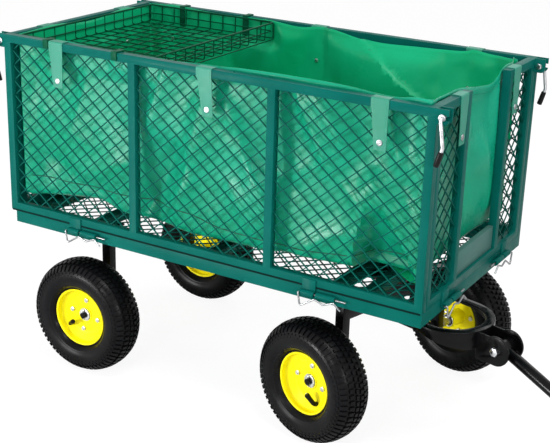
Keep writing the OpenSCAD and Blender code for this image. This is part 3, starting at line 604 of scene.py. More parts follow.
edit(tyre, "DESELECT")
bpy.ops.mesh.select_mode(type="FACE")
done()
picked = 0
for face in tyre.data.polygons:
    c = face.center
    ring = ring_of(math.hypot(c.x, c.z) * CHORD, c.y)
    step = int(math.floor(math.atan2(c.z, c.x) / (2 * math.pi) * STEPS)) % STEPS
    shift = ring[3] + (1 if c.y > 0 else 0) if ring else 0
    face.select = ring is not None and (step + shift) % 3 != 0
    picked += face.select
only(tyre)
bpy.ops.object.mode_set(mode="EDIT")
bpy.ops.mesh.inset(thickness=0.0006, depth=0.0)
bpy.ops.mesh.extrude_region_move()
done()
for v in tyre.data.vertices:
    if v.select:
        r, h = math.hypot(v.co.x, v.co.z), v.co.y
        ring = ring_of(r, h)
        lean = max(0.0, min(1.0, (abs(h) - 0.010) / 0.036))
        out = Vector((v.co.x / r, 0, v.co.z / r)) * math.cos(lean * 1.45)
        out.y = math.copysign(math.sin(lean * 1.45), h)
        v.co += out * (ring[2] if ring else 0.001)
edit(tyre)
bpy.ops.mesh.normals_make_consistent(inside=False)
done()
smooth(tyre, 32)
paint(tyre, tyre_rubber)
print("tyre faces:", len(tyre.data.polygons), "block faces picked:", picked)

# %% [markdown]
# A rim is two pressed halves bolted together. Each half is a profile with soft bends, closed round its
# 2.5 mm sheet and spun. The holes are hidden under the bolts, so they are left out.

# %% Rim halves, hub, bolts and valve
def pressed(points, radius=0.004):
    return [(p.x, p.y) for p in rounded_path([(r, h, 0) for r, h in points], radius, 4)]


outer_half = pressed([(0.0207, 0.0075), (0.0480, 0.0075), (0.0530, 0.0085), (0.0705, 0.0180),
                      (0.0725, 0.0215), (0.0727, 0.0318), (0.0738, 0.0330), (0.0772, 0.0331)])
outer_half += pressed([(0.0781, 0.0318), (0.0774, 0.0306), (0.0755, 0.0304), (0.0750, 0.0290),
                       (0.0750, 0.0172), (0.0560, 0.0052), (0.0480, 0.0050), (0.0207, 0.0050)], 0.002)
inner_half = pressed([(0.0207, 0.0050), (0.0480, 0.0050), (0.0560, 0.0040), (0.0750, -0.0172),
                      (0.0750, -0.0290), (0.0755, -0.0304), (0.0774, -0.0306), (0.0781, -0.0318)], 0.002)
inner_half += pressed([(0.0772, -0.0331), (0.0738, -0.0330), (0.0727, -0.0318), (0.0725, -0.0215),
                       (0.0705, -0.0185), (0.0530, 0.0015), (0.0480, 0.0025), (0.0207, 0.0025)])
HUB = [(0.0120, -0.037), (0.0175, -0.037), (0.0175, -0.0480), (0.0205, -0.0480), (0.0205, -0.0005),
       (0.0500, -0.0005), (0.0500, 0.0025), (0.0205, 0.0025), (0.0205, 0.0100), (0.0175, 0.0100),
       (0.0175, -0.001), (0.0120, -0.001)]
FLIP = about("Z", 180)
rim_outer = moved(turned("rim_outer", outer_half, 96), FLIP)
rim_inner = moved(turned("rim_inner", inner_half, 96), FLIP)
hub_tube = turned("hub_tube", pressed(HUB, 0.0006), 64)
for part in (rim_outer, rim_inner, hub_tube):
    paint(part, rim_paint)
hub_parts = [hub_tube]
for low in (-0.048, -0.001):
    for name, finish, profile in (
            ("bearing", bearing_steel, [(0.01475, 0.0004), (0.0172, 0.0), (0.0175, 0.0004), (0.0175, 0.0106),
                                        (0.0172, 0.011), (0.01475, 0.0106)]),
            ("race", bearing_steel, [(0.00806, 0.0004), (0.0084, 0.0), (0.0108, 0.0), (0.0110, 0.0005),
                                     (0.0110, 0.0105), (0.0108, 0.011), (0.0084, 0.011), (0.00806, 0.0106)]),
            ("seal", soft_black, [(0.0110, 0.0012), (0.01475, 0.0012), (0.01475, 0.0098), (0.0110, 0.0098)])):
        part = turned(name, [(r, low + h) for r, h in profile], 64)
        paint(part, finish)
        hub_parts.append(part)
hub = moved(join("hub", hub_parts), FLIP)
BOLT_CIRCLE, FIRST_BOLT = 0.042, 8
bolts = []
for k in range(4):
    spot = about("Y", 90 * k + FIRST_BOLT) @ Vector((BOLT_CIRCLE, 0, 0))
    head = nut_mesh("head", 0.0068, 0.0046)
    moved(head, at(spot + Vector((0, -0.0075, 0))) @ about("X", 90) @ Matrix.Rotation(0.4 * k, 4, "Z"))
    tip = turned("tip", [(0.0, 0.0), (0.0036, 0.0), (0.0039, -0.0004), (0.0039, -0.0020), (0.0, -0.0022)], 20)
    moved(tip, at(spot + Vector((0, -0.0119, 0))) @ FLIP @ Matrix.Diagonal((1, -1, 1, 1)))
    back_nut = nut_mesh("back_nut", 0.0070, 0.0060)
    moved(back_nut, at(spot + Vector((0, 0.0005, 0))) @ about("X", -90))
    bolts += [head, tip, back_nut]
wheel_bolts = join("rim_bolts", bolts)
paint(wheel_bolts, zinc)
stem = wire("valve", [(0.0590, -0.0060, 0), (0.0545, -0.0200, 0), (0.0335, -0.0300, 0)], 0.0056, 0.008)
cap = turned("cap", [(0.0, 0.0), (0.0056, 0.0), (0.0061, 0.0008), (0.0061, 0.0095), (0.0052, 0.0112),
                     (0.0, 0.0115)], 20)
moved(cap, at((0.0370, -0.0283, 0)) @ about("Z", 115.5))
valve = join("valve", [stem, cap])
paint(valve, soft_black)
moved(valve, about("Y", 62))
# each piece of a wheel, the solid it stands for and its finish
WHEEL_PIECES = ((tyre, "tyre", "tyre_rubber"), (rim_outer, "rim_outer", "rim_paint"),
                (rim_inner, "rim_inner", "rim_paint"), (hub, "hub", "rim_paint"),
                (wheel_bolts, "rim_bolts", "zinc_steel"), (valve, None, "tyre_rubber"))
print("wheel pieces:", [piece.name for piece, _, _ in WHEEL_PIECES])

# %% [markdown]
# The wheel is modelled once at the origin with its outer face to -Y. Each corner gets its own copies,
# turned with the front axle or half a turn round for the far side.

# %% Put the wheels on
STEER = -15
VALVE_TURN = {"front_near": 0, "rear_near": 80, "front_far": 30, "rear_far": -70}
for w in WHEELS:
    low, high = (Vector(c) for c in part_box("tyre_" + w))
    turn = about("Z", STEER if w.startswith("front") else 0)
    if w.endswith("far"):
        turn = turn @ FLIP
    for piece, solid, slot in WHEEL_PIECES:
        copy = twin(piece, "%s_%s_piece" % (piece.name.split(".")[0], w))
        spin = about("Y", 0 if solid else VALVE_TURN[w])
        moved(copy, at((low + high) / 2) @ turn @ spin)
        place(copy, "wheel_" + w, slot, *([solid + "_" + w] if solid else []))
for piece, _, _ in WHEEL_PIECES:
    bpy.data.objects.remove(piece)
print("wheels on:", len(WHEELS))

# %% [markdown]
# The drawbar ends in a soft ribbed grip. It is turned round its own axis and then set across the bar.

# %% Handle grip
low, high = (Vector(c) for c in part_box("handle_grip"))
GRIP_L, RIBS = 0.082, 11
end = GRIP_L / 2
grip_line = [(0.0081, -end), (0.0132, -end), (0.0146, -end + 0.0014)]
for k in range(RIBS):
    y = -end + 0.0060 + k * (GRIP_L - 0.012) / (RIBS - 1)
    grip_line += [(0.0149, y - 0.0018), (0.0138, y - 0.0008), (0.0138, y + 0.0008), (0.0149, y + 0.0018)]
grip_line += [(0.0146, end - 0.0014), (0.0132, end), (0.0081, end)]
grip = turned("handle_grip_ribbed", grip_line, 48)
paint(grip, soft_black)
moved(grip, at((low + high) / 2) @ about("Z", STEER))
place(grip, "drawbar", "grip_rubber", "handle_grip")
print("grip faces:", len(grip.data.polygons))

# %% [markdown]
# The liner is one sheet of tarpaulin, folded at its corners like a parcel and hung by straps from the
# rails. Its top edge dips between the straps and its floor is pulled up in places, so the heights of both
# edges are written down round the walls and the rest of the sheet follows them.

# %% Liner: its walls' edges
liner_low, liner_high = (Vector(c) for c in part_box("liner"))
LX, LY = (liner_high.x - liner_low.x) / 2, (liner_high.y - liner_low.y) / 2
CORNER_R = 0.012
floor_z = liner_low.z + 0.0015
# wall: (place along it, height) in millimetres
TOP = {
    "near": [
        (-567, 868), (-540, 866), (-450, 871), (-395, 871), (-300, 865), (-120, 866), (-10, 871), (45, 873),
        (90, 876), (150, 878), (240, 879), (330, 879), (400, 875), (435, 872), (490, 872), (530, 878),
        (567, 879)],
    "front": [
        (-281, 877), (-200, 873), (-140, 873), (-98, 869), (-60, 862), (-18, 854), (30, 847), (76, 845),
        (104, 857), (125, 868), (164, 873), (281, 868)],
    "far": [
        (-567, 868), (-484, 872), (-300, 867), (-155, 870), (-65, 864), (-14, 871), (34, 872), (61, 868),
        (111, 859), (179, 854), (274, 857), (366, 860), (411, 864), (430, 870), (481, 865), (538, 866),
        (567, 866)],
    "rear": [
        (-281, 868), (-142, 872), (0, 861), (142, 872), (231, 866), (281, 866)],
}
BOTTOM = {
    "near": [
        (-567, 446), (-540, 444), (-477, 451), (-366, 462), (-281, 447), (-208, 445), (-126, 441),
        (-46, 438), (88, 442), (163, 442), (226, 452), (358, 455), (442, 457), (508, 455), (567, 461)],
    "front": [
        (-281, 461), (-126, 463), (0, 464), (126, 470), (200, 478), (269, 484), (281, 481)],
    "far": [
        (-567, 446), (0, 444), (300, 448), (450, 458), (567, 480)],
    "rear": [
        (-281, 447), (0, 444), (281, 446)],
}


def along(table, u):
    """A value in metres, read off a table in millimetres at place u in metres."""
    u *= 1000
    if u <= table[0][0]:
        return table[0][1] / 1000
    for i, ((a, va), (b, vb)) in enumerate(zip(table, table[1:])):
        if u <= b:
            t, span = (u - a) / (b - a), b - a
            before, after = table[max(i - 1, 0)], table[min(i + 2, len(table) - 1)]
            ma = (vb - before[1]) / (b - before[0]) * span
            mb = (after[1] - va) / (after[0] - a) * span
            from_a, from_b = 2 * t ** 3 - 3 * t ** 2 + 1, 3 * t ** 2 - 2 * t ** 3
            turn_a, turn_b = t ** 3 - 2 * t ** 2 + t, t ** 3 - t ** 2
            return (from_a * va + turn_a * ma + from_b * vb + turn_b * mb) / 1000
    return table[-1][1] / 1000


LONG_WALLS = ("near", "far")


def rim_points(step):
    """Points round the liner from the near wall's rear end: side, place along it, x, y, outward normal."""
    points = []
    corner = int(math.ceil(CORNER_R * math.pi / 2 / (step * 0.5)))
    sx, sy = LX - CORNER_R, LY - CORNER_R
    for side, ax, ay, bx, by, nx, ny in (
            ("near", -sx, -LY, sx, -LY, 0, -1), ("front", LX, -sy, LX, sy, 1, 0),
            ("far", sx, LY, -sx, LY, 0, 1), ("rear", -LX, sy, -LX, -sy, -1, 0)):
        spots = []
        n = int(round(math.hypot(bx - ax, by - ay) / step))
        for i in range(n):
            t = i / n
            spots.append((ax + (bx - ax) * t, ay + (by - ay) * t, nx, ny))
        a0 = math.atan2(ny, nx)
        for i in range(corner):
            a = a0 + math.pi / 2 * i / corner
            c, d = math.cos(a), math.sin(a)
            spots.append((bx - nx * CORNER_R + CORNER_R * c, by - ny * CORNER_R + CORNER_R * d, c, d))
        points += [(side, x if side in LONG_WALLS else y, x, y, Vector((c, d, 0))) for x, y, c, d in spots]
    return points


ring_of_points = rim_points(0.0085)
print("points round the liner:", len(ring_of_points), "size %.3f x %.3f" % (2 * LX, 2 * LY))

# %% [markdown]
# Tarpaulin is stiff, so it creases in straight lines. Each crease here runs from one place on a wall to
# another. On one side of it the cloth falls away sharply and on the other gently, and that makes the
# bright and dark facets.

# %% Liner: creases and the big pleat
# wall: from u1, z1 to u2, z2, depth and width in millimetres, and the lean from -1 to 1
CREASES = {
    "near": [
        (440, 672, 552, 500, 13, 34, -0.4), (440, 668, 400, 505, 10, 30, 0.4),
        (236, 850, 320, 690, 9, 30, 0.5), (279, 850, 360, 740, 9, 26, 0.5),
        (60, 780, 178, 530, 10, 44, -0.5), (-4, 800, -84, 500, 9, 40, 0.4),
        (-116, 858, -170, 690, 7, 34, 0.3), (-100, 640, -190, 470, -12, 48, 0.3),
        (40, 740, 230, 620, -6, 36, 0.2), (-549, 840, -440, 768, 6, 30, 0.3),
        (-500, 560, -300, 470, -9, 46, -0.3), (-440, 500, -225, 590, 6, 40, 0.4),
        (85, 545, 262, 676, 5, 36, -0.4), (-130, 483, -40, 575, 7, 30, 0.4),
        (470, 850, 500, 700, 6, 34, 0.4), (250, 470, 420, 560, 6, 36, 0.2),
        (150, 480, 60, 600, 5, 34, -0.3), (-330, 860, -400, 640, 6, 42, 0.4),
        (-520, 700, -360, 620, 5, 36, -0.4), (500, 640, 560, 560, 6, 24, 0.4),
        (330, 690, 420, 600, 5, 30, 0.3)],
    "front": [
        (105, 862, 118, 600, 9, 26, 0.6), (5, 850, 20, 540, -8, 40, 0.2), (-97, 866, -60, 640, 8, 30, -0.4),
        (-60, 640, -30, 500, 6, 28, -0.3), (190, 850, 130, 560, 9, 34, 0.3),
        (60, 700, 150, 500, 7, 30, 0.3), (-230, 800, -200, 520, 6, 30, 0.3),
        (240, 860, 215, 560, 8, 26, 0.3), (-20, 780, 60, 640, 5, 30, 0.4)],
    "far": [
        (423, 800, 520, 560, 9, 40, 0.4), (430, 850, 300, 640, 8, 44, -0.3),
        (-14, 860, -120, 560, 9, 50, 0.4), (-14, 860, 60, 640, 8, 44, -0.4),
        (-300, 850, -260, 560, 8, 50, 0.3), (-484, 860, -440, 560, 7, 44, 0.3),
        (360, 858, 350, 760, 6, 30, 0.4), (501, 850, 540, 700, 8, 30, 0.3),
        (-200, 700, -60, 600, 6, 40, 0.3)],
    "rear": [
        (142, 860, 100, 560, 8, 40, 0.3), (-142, 860, -90, 560, 8, 40, -0.3), (0, 855, 20, 640, 6, 34, 0.3),
        (231, 860, 250, 600, 7, 30, 0.2), (-230, 860, -200, 620, 6, 30, 0.2)],
}
# the corners of a dent pressed into the near wall, in metres
DENT = (Vector((0.441, 0.668)), Vector((0.404, 0.510)), Vector((0.545, 0.500)))
# the line that the far wall's pleat hangs from: (place along the wall, height) in millimetres
PLEAT = [(20, 886), (60, 882), (78, 875), (119, 860), (156, 838), (192, 813), (241, 776), (271, 757),
         (300, 741), (340, 716), (430, 664)]


def near_line(p, a, b):
    """Place along a-b from 0 to 1 and the signed distance from it."""
    d = b - a
    return (p - a).dot(d) / d.length_squared, (d.x * (p.y - a.y) - d.y * (p.x - a.x)) / d.length


def cross(a, b):
    return a.x * b.y - a.y * b.x


def fade(t, edge):
    t = max(0.0, min(1.0, t / edge))
    return t * t * (3 - 2 * t)


def creased(side, u, z):
    """How far the wall stands out there, in metres."""
    p = Vector((u, z))
    d = 0.0
    for u1, z1, u2, z2, depth, width, lean in CREASES[side]:
        a, b = Vector((u1, z1)) / 1000, Vector((u2, z2)) / 1000
        t, s = near_line(p, a, b)
        if -0.25 < t < 1.25 and abs(s) < width / 300:
            w = width / 1000 * (1 + lean if s > 0 else 1 - lean)
            ends = fade(t + 0.25, 0.45) * fade(1.25 - t, 0.45)
            d += depth / 1000 * ends * math.exp(-(abs(s) / w) ** 1.15)
    if side == "near":
        a, b, c = DENT
        area = cross(b - a, c - a)
        wb, wc = cross(p - a, c - a) / area, cross(b - a, p - a) / area
        if wb > 0 and wc > 0 and wb + wc < 1.42:
            d -= 0.026 * (wb + wc) * fade(min(wb, wc), 0.045) * fade(1.42 - wb - wc, 0.30)
    return d


def pleat_slope(u):
    return (along(PLEAT, u + 0.004) - along(PLEAT, u - 0.004)) / 0.008


def pleated(u, z):
    """How far the cloth of the far wall's pleat stands in, and the distance below the pleat's line."""
    lean = 0.34 * max(0.0, 0.862 - z)
    lean = 0.070 * (1 - math.exp(-lean / 0.070))
    if u < 0.02:
        below = 0.06 + (0.02 - u) + max(0.0, 0.86 - z) * 0.8
    else:
        slope = pleat_slope(u)
        below = (along(PLEAT, u) - z) / math.sqrt(1 + slope * slope)
    if below <= 0:
        return lean * fade(LX - u, 0.16), below
    ramp = max(0.0, 1 - below / 0.20)
    return lean * ramp ** 1.3 + (0.009 * math.exp(-below / 0.08) if u >= 0.02 else 0.0), below


print("creases:", sum(len(v) for v in CREASES.values()))

# %% [markdown]
# The sheet itself is a grid: rows go down the walls, round the bottom edge and in over the floor. It is
# folded here directly, and not by a cloth simulation, so that every crease lies where it should.

# %% Liner: the sheet
WALL_ROWS, EDGE_ROWS, FLOOR_ROWS = 46, 5, 22
EDGE_R = 0.016
# how far the cloth hangs in from the wall's plane, how far it may stand out, and how soft that limit is
HANGS_IN, STANDS_OUT, SOFTLY = 0.0200, 0.0012, 0.004
# where the basket's hooks lie over the long rails
HOOKS_AT = (-0.453, -0.242)
basket_low, basket_high = (Vector(c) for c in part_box("basket"))
BASKET_LOW, BASKET_END = basket_low.z - 0.012, basket_high.x - mid_x
BASKET_GAP = LY - basket_high.y - 0.0012
print("basket clears the liner by %.4f" % BASKET_GAP)


def liner_point(side, u, x, y, n, row):
    top, bottom = along(TOP[side], u), along(BOTTOM[side], u)
    end = bottom + EDGE_R
    if row <= WALL_ROWS:
        t = row / WALL_ROWS
        z = top + (end - top) * t
        soft = fade(row, 5) * 0.7 + 0.3
        seed = Vector((x * 4.2, y * 4.2, z * 3.4))
        d = (-HANGS_IN + 0.0080 * noise.noise(seed) + 0.0034 * noise.noise(seed * 2.6)
             + 0.0004 * noise.noise(seed * 8.0))
        d += creased(side, u, z) * (2.6 if side == "front" else 2.3)
        reach = STANDS_OUT
        if side == "front":
            bay = fade(0.112 - abs(u), 0.03) * fade(z - 0.49, 0.05)
            d += 0.004 * bay
            reach += 0.0075 * bay
        held = SOFTLY * math.log(1 + math.exp(min(40, (reach - d * soft) / SOFTLY)))
        d = reach - held - 0.0010 * (1 - soft)
        if row < 3:
            d += 0.0009
        ends = fade((LX if side in LONG_WALLS else LY) - abs(u), 0.06)
        if side in LONG_WALLS and z > 0.79:
            for pin in HOOKS_AT:
                ends *= 1 - (1 - fade(abs(u - pin) - 0.014, 0.05)) * fade(z - 0.79, 0.035)
        d = d * ends - 0.0002 * (1 - ends)
        if side in ("front", "far") and u > 0:
            d -= 0.028 * (1 - fade((LX if side == "far" else LY) - u, 0.09))
        if side == "far":
            inward, below = pleated(u, z)
            if u > 0.03 and 0 < abs(below) < 0.022 and z < top - 0.004:
                slope = pleat_slope(u)
                shift = below * (1 - abs(below) / 0.022) / math.sqrt(1 + slope * slope)
                x += slope * -shift
                z = min(z + shift, top)
                inward, below = pleated(x, z)
            d -= inward
        if x < BASKET_END + 0.09 and z > BASKET_LOW - 0.08:
            room = BASKET_GAP + 0.5 * max(0.0, x - BASKET_END) + 0.8 * max(0.0, BASKET_LOW - z)
            d = max(d, -room)
        spot = Vector((x, y, 0)) + n * d
        return Vector((spot.x, spot.y, z))
    if row <= WALL_ROWS + EDGE_ROWS:
        a = (row - WALL_ROWS) / EDGE_ROWS * math.pi / 2
        base = liner_point(side, u, x, y, n, WALL_ROWS)
        return base - n * EDGE_R * (1 - math.cos(a)) + Vector((0, 0, -EDGE_R * math.sin(a)))
    t = (row - WALL_ROWS - EDGE_ROWS) / FLOOR_ROWS
    base = liner_point(side, u, x, y, n, WALL_ROWS + EDGE_ROWS)
    spine = Vector((max(-LX + LY, min(LX - LY, base.x)), 0, 0))
    flat = Vector((base.x, base.y, 0)).lerp(spine, t)
    seed = Vector((flat.x * 3.0, flat.y * 3.0, 7.0))
    lift = (base.z - floor_z) * math.exp(-t / 0.16)
    wave = 0.0035 * (noise.noise(seed) + 0.5 * noise.noise(seed * 2.7) + 0.6) * fade(t, 0.2)
    return Vector((flat.x, flat.y, floor_z + lift + max(0.0, wave)))


rows = WALL_ROWS + EDGE_ROWS + FLOOR_ROWS
verts = []
for row in range(rows + 1):
    for side, u, x, y, n in ring_of_points:
        p = liner_point(side, u, x, y, n, row)
        verts.append((p.x + mid_x, p.y, p.z))
count = len(ring_of_points)
faces = [(r * count + i, r * count + (i + 1) % count, (r + 1) * count + (i + 1) % count, (r + 1) * count + i)
         for r in range(rows) for i in range(count)]
liner = meshed("liner_sheet", verts, [], faces)
edit(liner)
bpy.ops.mesh.remove_doubles(threshold=0.0004)
bpy.ops.mesh.normals_make_consistent(inside=False)
done()

# %% [markdown]
# The cloth has two finishes: the coated outside is coloured paler than the inside, a painted sheen. Solidify
# gives it its thickness and puts the second finish on the inner face.

# %% Liner: thickness, seam and declaration
paint(liner, liner_cloth, liner_inside)
smooth(liner, 60)
modify(liner, "SOLIDIFY", thickness=0.0009, offset=-1.0, material_offset=1, use_even_offset=False)
place(liner, "chassis", "liner_cloth", "liner")
seam_z = [(-567, 500), (-300, 496), (-187, 497), (-47, 494), (31, 476), (134, 473), (225, 473), (356, 482),
          (440, 491), (521, 501), (567, 505)]


def on_wall(side, u, z, out=0.0):
    """A point on the finished wall, out from its outer face."""
    x, y, n = min((p for p in ring_of_points if p[0] == side), key=lambda p: abs(p[1] - u))[2:]
    top, end = along(TOP[side], u), along(BOTTOM[side], u) + EDGE_R
    x, y = (u, y) if side in LONG_WALLS else (x, u)
    p = liner_point(side, u, x, y, n, (top - z) / (top - end) * WALL_ROWS) + n * out
    return Vector((p.x + mid_x, p.y, p.z))


HEM = 0.021
low_seam = [on_wall("near", k / 100, along(seam_z, k / 100), 0.0004) for k in range(-54, 55, 2)]
seams = [wire("seam", low_seam, 0.0014, 0.004, sides=2)]
# The seam line is painted near-black green, as painted shade of the fold along it.
paint(seams[0], fold_shade_paint)
for side in ("near", "far", "front", "rear"):
    half = LX - 0.03 if side in LONG_WALLS else LY - 0.03
    n = int(half / 0.012)
    places = [half * i / n for i in range(-n, n + 1)]
    line = [on_wall(side, u, along(TOP[side], u) - HEM, 0.0002) for u in places]
    seams.append(wire("hem", line, 0.0006, 0.003, sides=2))
    paint(seams[-1], thread)
seam = join("liner_seams", seams)
place(seam, "chassis", "liner_cloth")
print("liner declared; seam pieces:", len(seams))

# %% [markdown]
# Ten straps hold the liner up: three over each side rail and two over each gate's rail. A strap is a
# doubled band of the same cloth, sewn along both edges, with a press stud near its end.

# %% Straps
STRAP_W, STRAP_T = 0.042, 0.0016
DROP = 0.112
NARROWS = 0.32
ACROSS = (-0.5, -0.46, -0.40, -0.2, 0.0, 0.2, 0.40, 0.46, 0.5)


def band(line, bow, sway):
    """A flat band along a line in the YZ plane, as wide as a strap along X, with softly rounded edges."""
    line = rounded_path([(0, a, b) for a, b in line], 0.004, 4)
    fine = []
    for p, q in zip(line, line[1:]):
        parts = max(1, int((q - p).length / 0.006))
        fine += [p.lerp(q, i / parts) for i in range(parts)]
    fine.append(line[-1])
    verts, faces = [], []
    for i, p in enumerate(fine):
        down = max(0.0, min(1.0, -p.z / DROP)) if i > len(fine) / 2 else 0.0
        for a in ACROSS:
            edge = 0.0003 if abs(a) > 0.45 else 0.0
            x = a * STRAP_W * (1 - NARROWS * down) + sway * down
            verts.append((x, p.y + edge - bow * down * math.sin(down * math.pi), p.z))
    m = len(ACROSS)
    for i in range(len(fine) - 1):
        for j in range(m - 1):
            faces.append((i * m + j, i * m + j + 1, (i + 1) * m + j + 1, (i + 1) * m + j))
    cloth = meshed("strap", verts, [], faces)
    modify(cloth, "SOLIDIFY", thickness=STRAP_T, offset=0.0)
    smooth(cloth, 50)
    return cloth


def stitches(p, q):
    """Short threads from p to q, each standing just out of the cloth."""
    n = max(1, int((q - p).length / 0.0062))
    verts, faces = [], []
    for i in range(n):
        a, b = p.lerp(q, (i + 0.15) / n), p.lerp(q, (i + 0.80) / n)
        d = (b - a).normalized()
        s = Vector((0.00045, 0, 0)) if abs(d.x) < 0.5 else Vector((0, 0, 0.00045))
        o = d.cross(s)
        k = len(verts)
        verts += [a - s, a + s, a + o, b - s, b + s, b + o, a - o, b - o]
        faces += [tuple(k + j for j in f) for f in (
            (0, 2, 5, 3), (2, 1, 4, 5), (1, 6, 7, 4), (6, 0, 3, 7), (0, 6, 1, 2), (3, 5, 4, 7))]
    return meshed("stitches", verts, [], faces)


def strap(gap, bow, sway=0.0):
    """A strap for a wall that faces -Y with its outer face at y = 0 and the rail's top at z = 0."""
    out = gap + TUBE + 0.0003
    face = -(out + 0.0011)
    cloth = band([(0.0, -0.017), (0.0, 0.0011), (face, 0.0011), (face, -DROP)], bow, sway)
    front = face - STRAP_T / 2 - 0.0001
    low_w = STRAP_W * (1 - NARROWS) / 2
    sewn = []
    for s in (-1, 1):
        top = Vector((s * (STRAP_W / 2 - 0.0042), front, -0.002))
        sewn.append(stitches(top, Vector((s * (low_w - 0.0036) + sway, front, -DROP + 0.006))))
    end_z = -DROP + 0.005
    sewn.append(stitches(Vector((-low_w + 0.005 + sway, front, end_z)),
                         Vector((low_w - 0.005 + sway, front, end_z))))
    stud = turned("stud", [(0.0, 0.0024), (0.0018, 0.0025), (0.0030, 0.0018), (0.0050, 0.0021),
                           (0.0066, 0.0017), (0.0073, 0.0007), (0.0073, 0.0), (0.0, 0.0)], 32)
    moved(stud, at((sway * 0.85, front + 0.0002, -DROP + 0.017)) @ about("X", 180))
    paint(cloth, strap_cloth)
    for threads in sewn:
        paint(threads, thread)
    paint(stud, wire_zinc)
    return join("strap_dressed", [cloth] + sewn + [stud])


side_gap = inner_y - LY
gate_gap = (panel_x1 - TUBE - mid_x) - LX
side_list = []
for x, sway in ((-0.422, 0.005), (0.014, 0.012), (0.460, 0.006)):
    side_list.append(moved(strap(side_gap, 0.0006, sway), at((mid_x + x, -LY, top_z))))
for x in (-0.4845, -0.014, 0.430):
    side_list.append(moved(strap(side_gap, 0.0005), at((mid_x + x, LY, top_z)) @ about("Z", 180)))
front_list, rear_list = [], []
for y in (-0.160, 0.160):
    front_list.append(moved(strap(gate_gap, 0.0005), at((mid_x + LX, y, top_z)) @ about("Z", 90)))
    rear_list.append(moved(strap(gate_gap, 0.0005), at((mid_x - LX, y, top_z)) @ about("Z", -90)))
place(join("side_straps_sewn", side_list), "chassis", "liner_cloth", "side_straps")
front_straps = place(join("front_straps_sewn", front_list), "front_gate", "liner_cloth", "front_straps")
rear_straps = place(join("rear_straps_sewn", rear_list), "rear_gate", "liner_cloth", "rear_straps")
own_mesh(front_straps)
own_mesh(rear_straps)
print("straps:", len(side_list) + len(front_list) + len(rear_list))

# %% [markdown]
# Each strap's stud has a partner on the liner's wall. They show inside as small steel rivets.

# %% Rivets inside the liner
RIVETS = (("far", -0.014, 0.779), ("far", 0.430, 0.775), ("far", -0.4845, 0.778), ("near", -0.422, 0.778),
          ("near", 0.018, 0.778), ("near", 0.462, 0.778), ("front", -0.160, 0.778), ("front", 0.160, 0.778),
          ("rear", -0.160, 0.778), ("rear", 0.160, 0.778))
RIVET = [(0.0, 0.0020), (0.0022, 0.0021), (0.0052, 0.0014), (0.0058, 0.0), (0.0, 0.0)]
FACING = {"near": 0, "front": 90, "far": 180, "rear": -90}
rivets = []
for side, u, z in RIVETS:
    rivet = turned("rivet", RIVET, 24)
    rivets.append(moved(rivet, at(on_wall(side, u, z, -0.0012)) @ about("Z", FACING[side])))
rivets = join("liner_rivets", rivets)
paint(rivets, zinc)
place(rivets, "chassis", "zinc_steel")
print("rivets:", len(RIVETS))

# %% [markdown]
# The basket is welded from round wire: wires bent up at both ends run each way, a thicker wire goes
# round the top, and a thin one goes round halfway up.

# %% Basket
cx = (basket_low.x + basket_high.x) / 2
BL, BW, BH = (b - a for a, b in zip(basket_low, basket_high))
BT = 0.004
MESH, BASKET_BEND = 0.042, 0.007
nx, ny = round(BL / MESH), round(BW / MESH)
base = basket_low.z
top = base + BH - BT
wires = []
for i in range(nx + 1):
    x, y, z = cx + (i / nx - 0.5) * (BL - BT), BW / 2 - BT / 2, base + BT / 2
    line = [(x, -y, top), (x, -y, z), (x, y, z), (x, y, top)]
    wires.append(wire("cross", line, 0.0017, BASKET_BEND, sides=2))
for i in range(ny + 1):
    x, y, z = BL / 2 - BT / 2, (i / ny - 0.5) * (BW - 3 * BT), base + BT * 1.4
    line = [(cx - x, y, top), (cx - x, y, z), (cx + x, y, z), (cx + x, y, top)]
    wires.append(wire("long", line, 0.0017, BASKET_BEND, sides=2))
for z, inset, r in ((base + BH - BT / 2, BT / 2, 0.0024), (base + BH / 2, BT * 1.3, 0.0016)):
    x, y = BL / 2 - inset, BW / 2 - inset
    line = [(cx - x, -y, z), (cx + x, -y, z), (cx + x, y, z), (cx - x, y, z)]
    wires.append(wire("loop", line, r, 0.012, closed=True))
basket = join("basket_wires", wires)
paint(basket, basket_paint)
place(basket, "basket", "basket_paint", "basket")
rounded("basket_hooks", "basket_hooks_dressed", 0.0007, basket_paint, "basket", "basket_paint")
print("basket wires:", len(wires), "faces:", len(basket.data.polygons))

# %% [markdown]
# The camera looks down from the front near corner, tilted a little. It is placed by its own right, up and
# back directions.

# %% Camera
EYE = (1.1609, -2.5553, 1.5094)
turn, rise, tilt = math.radians(30.388), math.radians(20.328), math.radians(1.795)
back = Vector((math.sin(turn) * math.cos(rise), -math.cos(turn) * math.cos(rise), math.sin(rise)))
right = Vector((math.cos(turn), math.sin(turn), 0))
up = back.cross(right)
right, up = right * math.cos(tilt) + up * math.sin(tilt), up * math.cos(tilt) - right * math.sin(tilt)
lens = bpy.data.cameras.new("camera")
lens.lens, lens.sensor_width = 79.83, 36
lens.clip_end = 200
camera = linked("camera", lens)
camera.matrix_world = at(EYE) @ Matrix((right, up, back)).transposed().to_4x4()
bpy.context.scene.camera = camera
print("camera at", [round(v, 3) for v in camera.location])

# %% [markdown]
# The studio is a white floor under a white sky. What the camera and reflections see is plain white, and the
# light on the cart is kept at a level at which colours come out as written. The floor keeps a soft shadow.

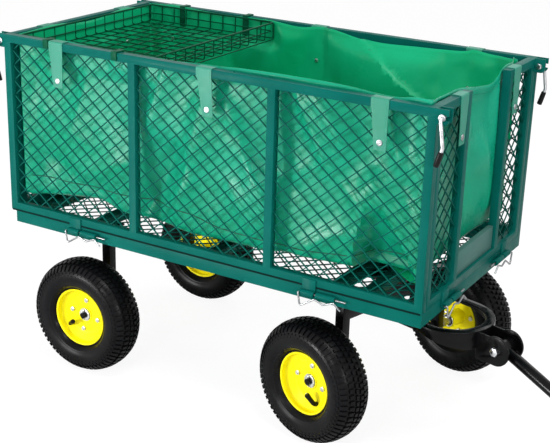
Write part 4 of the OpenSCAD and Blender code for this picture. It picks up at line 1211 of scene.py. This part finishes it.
# %% Floor and sky
bpy.ops.object.select_all(action="DESELECT")
bpy.ops.mesh.primitive_grid_add(x_subdivisions=2, y_subdivisions=2, size=60, location=(0, 0, 0))
floor = bpy.context.object
floor.name = "floor"
paper = Finish("studio_paper", (0.86, 0.86, 0.86), 0.9)
seen = paper.node("LightPath").outputs["Is Camera Ray"]
white = paper.node("Emission")
white.inputs["Color"].default_value = (1, 1, 1, 1)
white.inputs["Strength"].default_value = 1.12
both = paper.node("MixShader")
paper.feed(both.inputs[0], paper.maths("MULTIPLY", seen, 0.80))
paper.feed(both.inputs[1], paper.bsdf.outputs[0])
paper.feed(both.inputs[2], white.outputs[0])
paper.feed(paper.nt.nodes["Material Output"].inputs["Surface"], both.outputs[0])
paint(floor, paper.mat)

world = bpy.data.worlds.new("studio")
bpy.context.scene.world = world
world.use_nodes = True
wt = world.node_tree
sky = wt.nodes["Background"]
sky.inputs["Color"].default_value = (1, 1, 1, 1)
path = wt.nodes.new("ShaderNodeLightPath").outputs
bright, shiny = wt.nodes.new("ShaderNodeMath"), wt.nodes.new("ShaderNodeMath")
bright.operation = shiny.operation = "MAXIMUM"
level = wt.nodes.new("ShaderNodeMapRange")
level.inputs["To Min"].default_value = 0.42
for source, socket in (
        (path["Is Glossy Ray"], shiny.inputs[0]), (path["Is Transmission Ray"], shiny.inputs[1]),
        (path["Is Camera Ray"], bright.inputs[0]), (shiny.outputs[0], bright.inputs[1]),
        (bright.outputs[0], level.inputs["Value"]), (level.outputs[0], sky.inputs["Strength"])):
    wt.links.new(source, socket)
print("floor and sky ready")

# %% [markdown]
# Six soft boxes light it. The key stands low at the front left, where the near wall mirrors it, so the
# creases shine. A broad one above fills the inside, and the others lift the front, the ends and the back.

# %% Soft boxes
def soft_box(name, place_at, look_at, size, watts):
    data = bpy.data.lights.new(name, "AREA")
    data.shape = "RECTANGLE"
    data.size, data.size_y = size
    data.energy = watts
    lamp = linked(name, data)
    lamp.location = place_at
    lamp.rotation_euler = (Vector(look_at) - Vector(place_at)).to_track_quat("-Z", "Y").to_euler()


soft_box("key", (mid_x - 1.75, -3.2, 0.48), (mid_x + 0.1, -0.2, 0.6), (0.7, 0.7), 88)
soft_box("left", (mid_x - 3.2, -1.9, 1.6), (mid_x, -0.2, 0.6), (0.6, 0.8), 16)
soft_box("front", (mid_x + 0.8, -3.4, 2.4), (mid_x, 0, 0.55), (0.6, 0.8), 26)
soft_box("high", (mid_x + 1.2, -0.9, 3.6), (mid_x, 0, 0.6), (1.4, 1.0), 56)
soft_box("side", (mid_x + 3.0, -1.5, 1.3), (mid_x, 0, 0.5), (0.6, 0.6), 24)
soft_box("back", (mid_x - 0.2, 2.6, 2.6), (mid_x, 0, 0.7), (2.0, 0.8), 20)
print("soft boxes:", 6)

# %% [markdown]
# The view transform is set to Standard, and the scene is finished.

# %% Finish the scene
bpy.context.scene.view_settings.view_transform = "Standard"
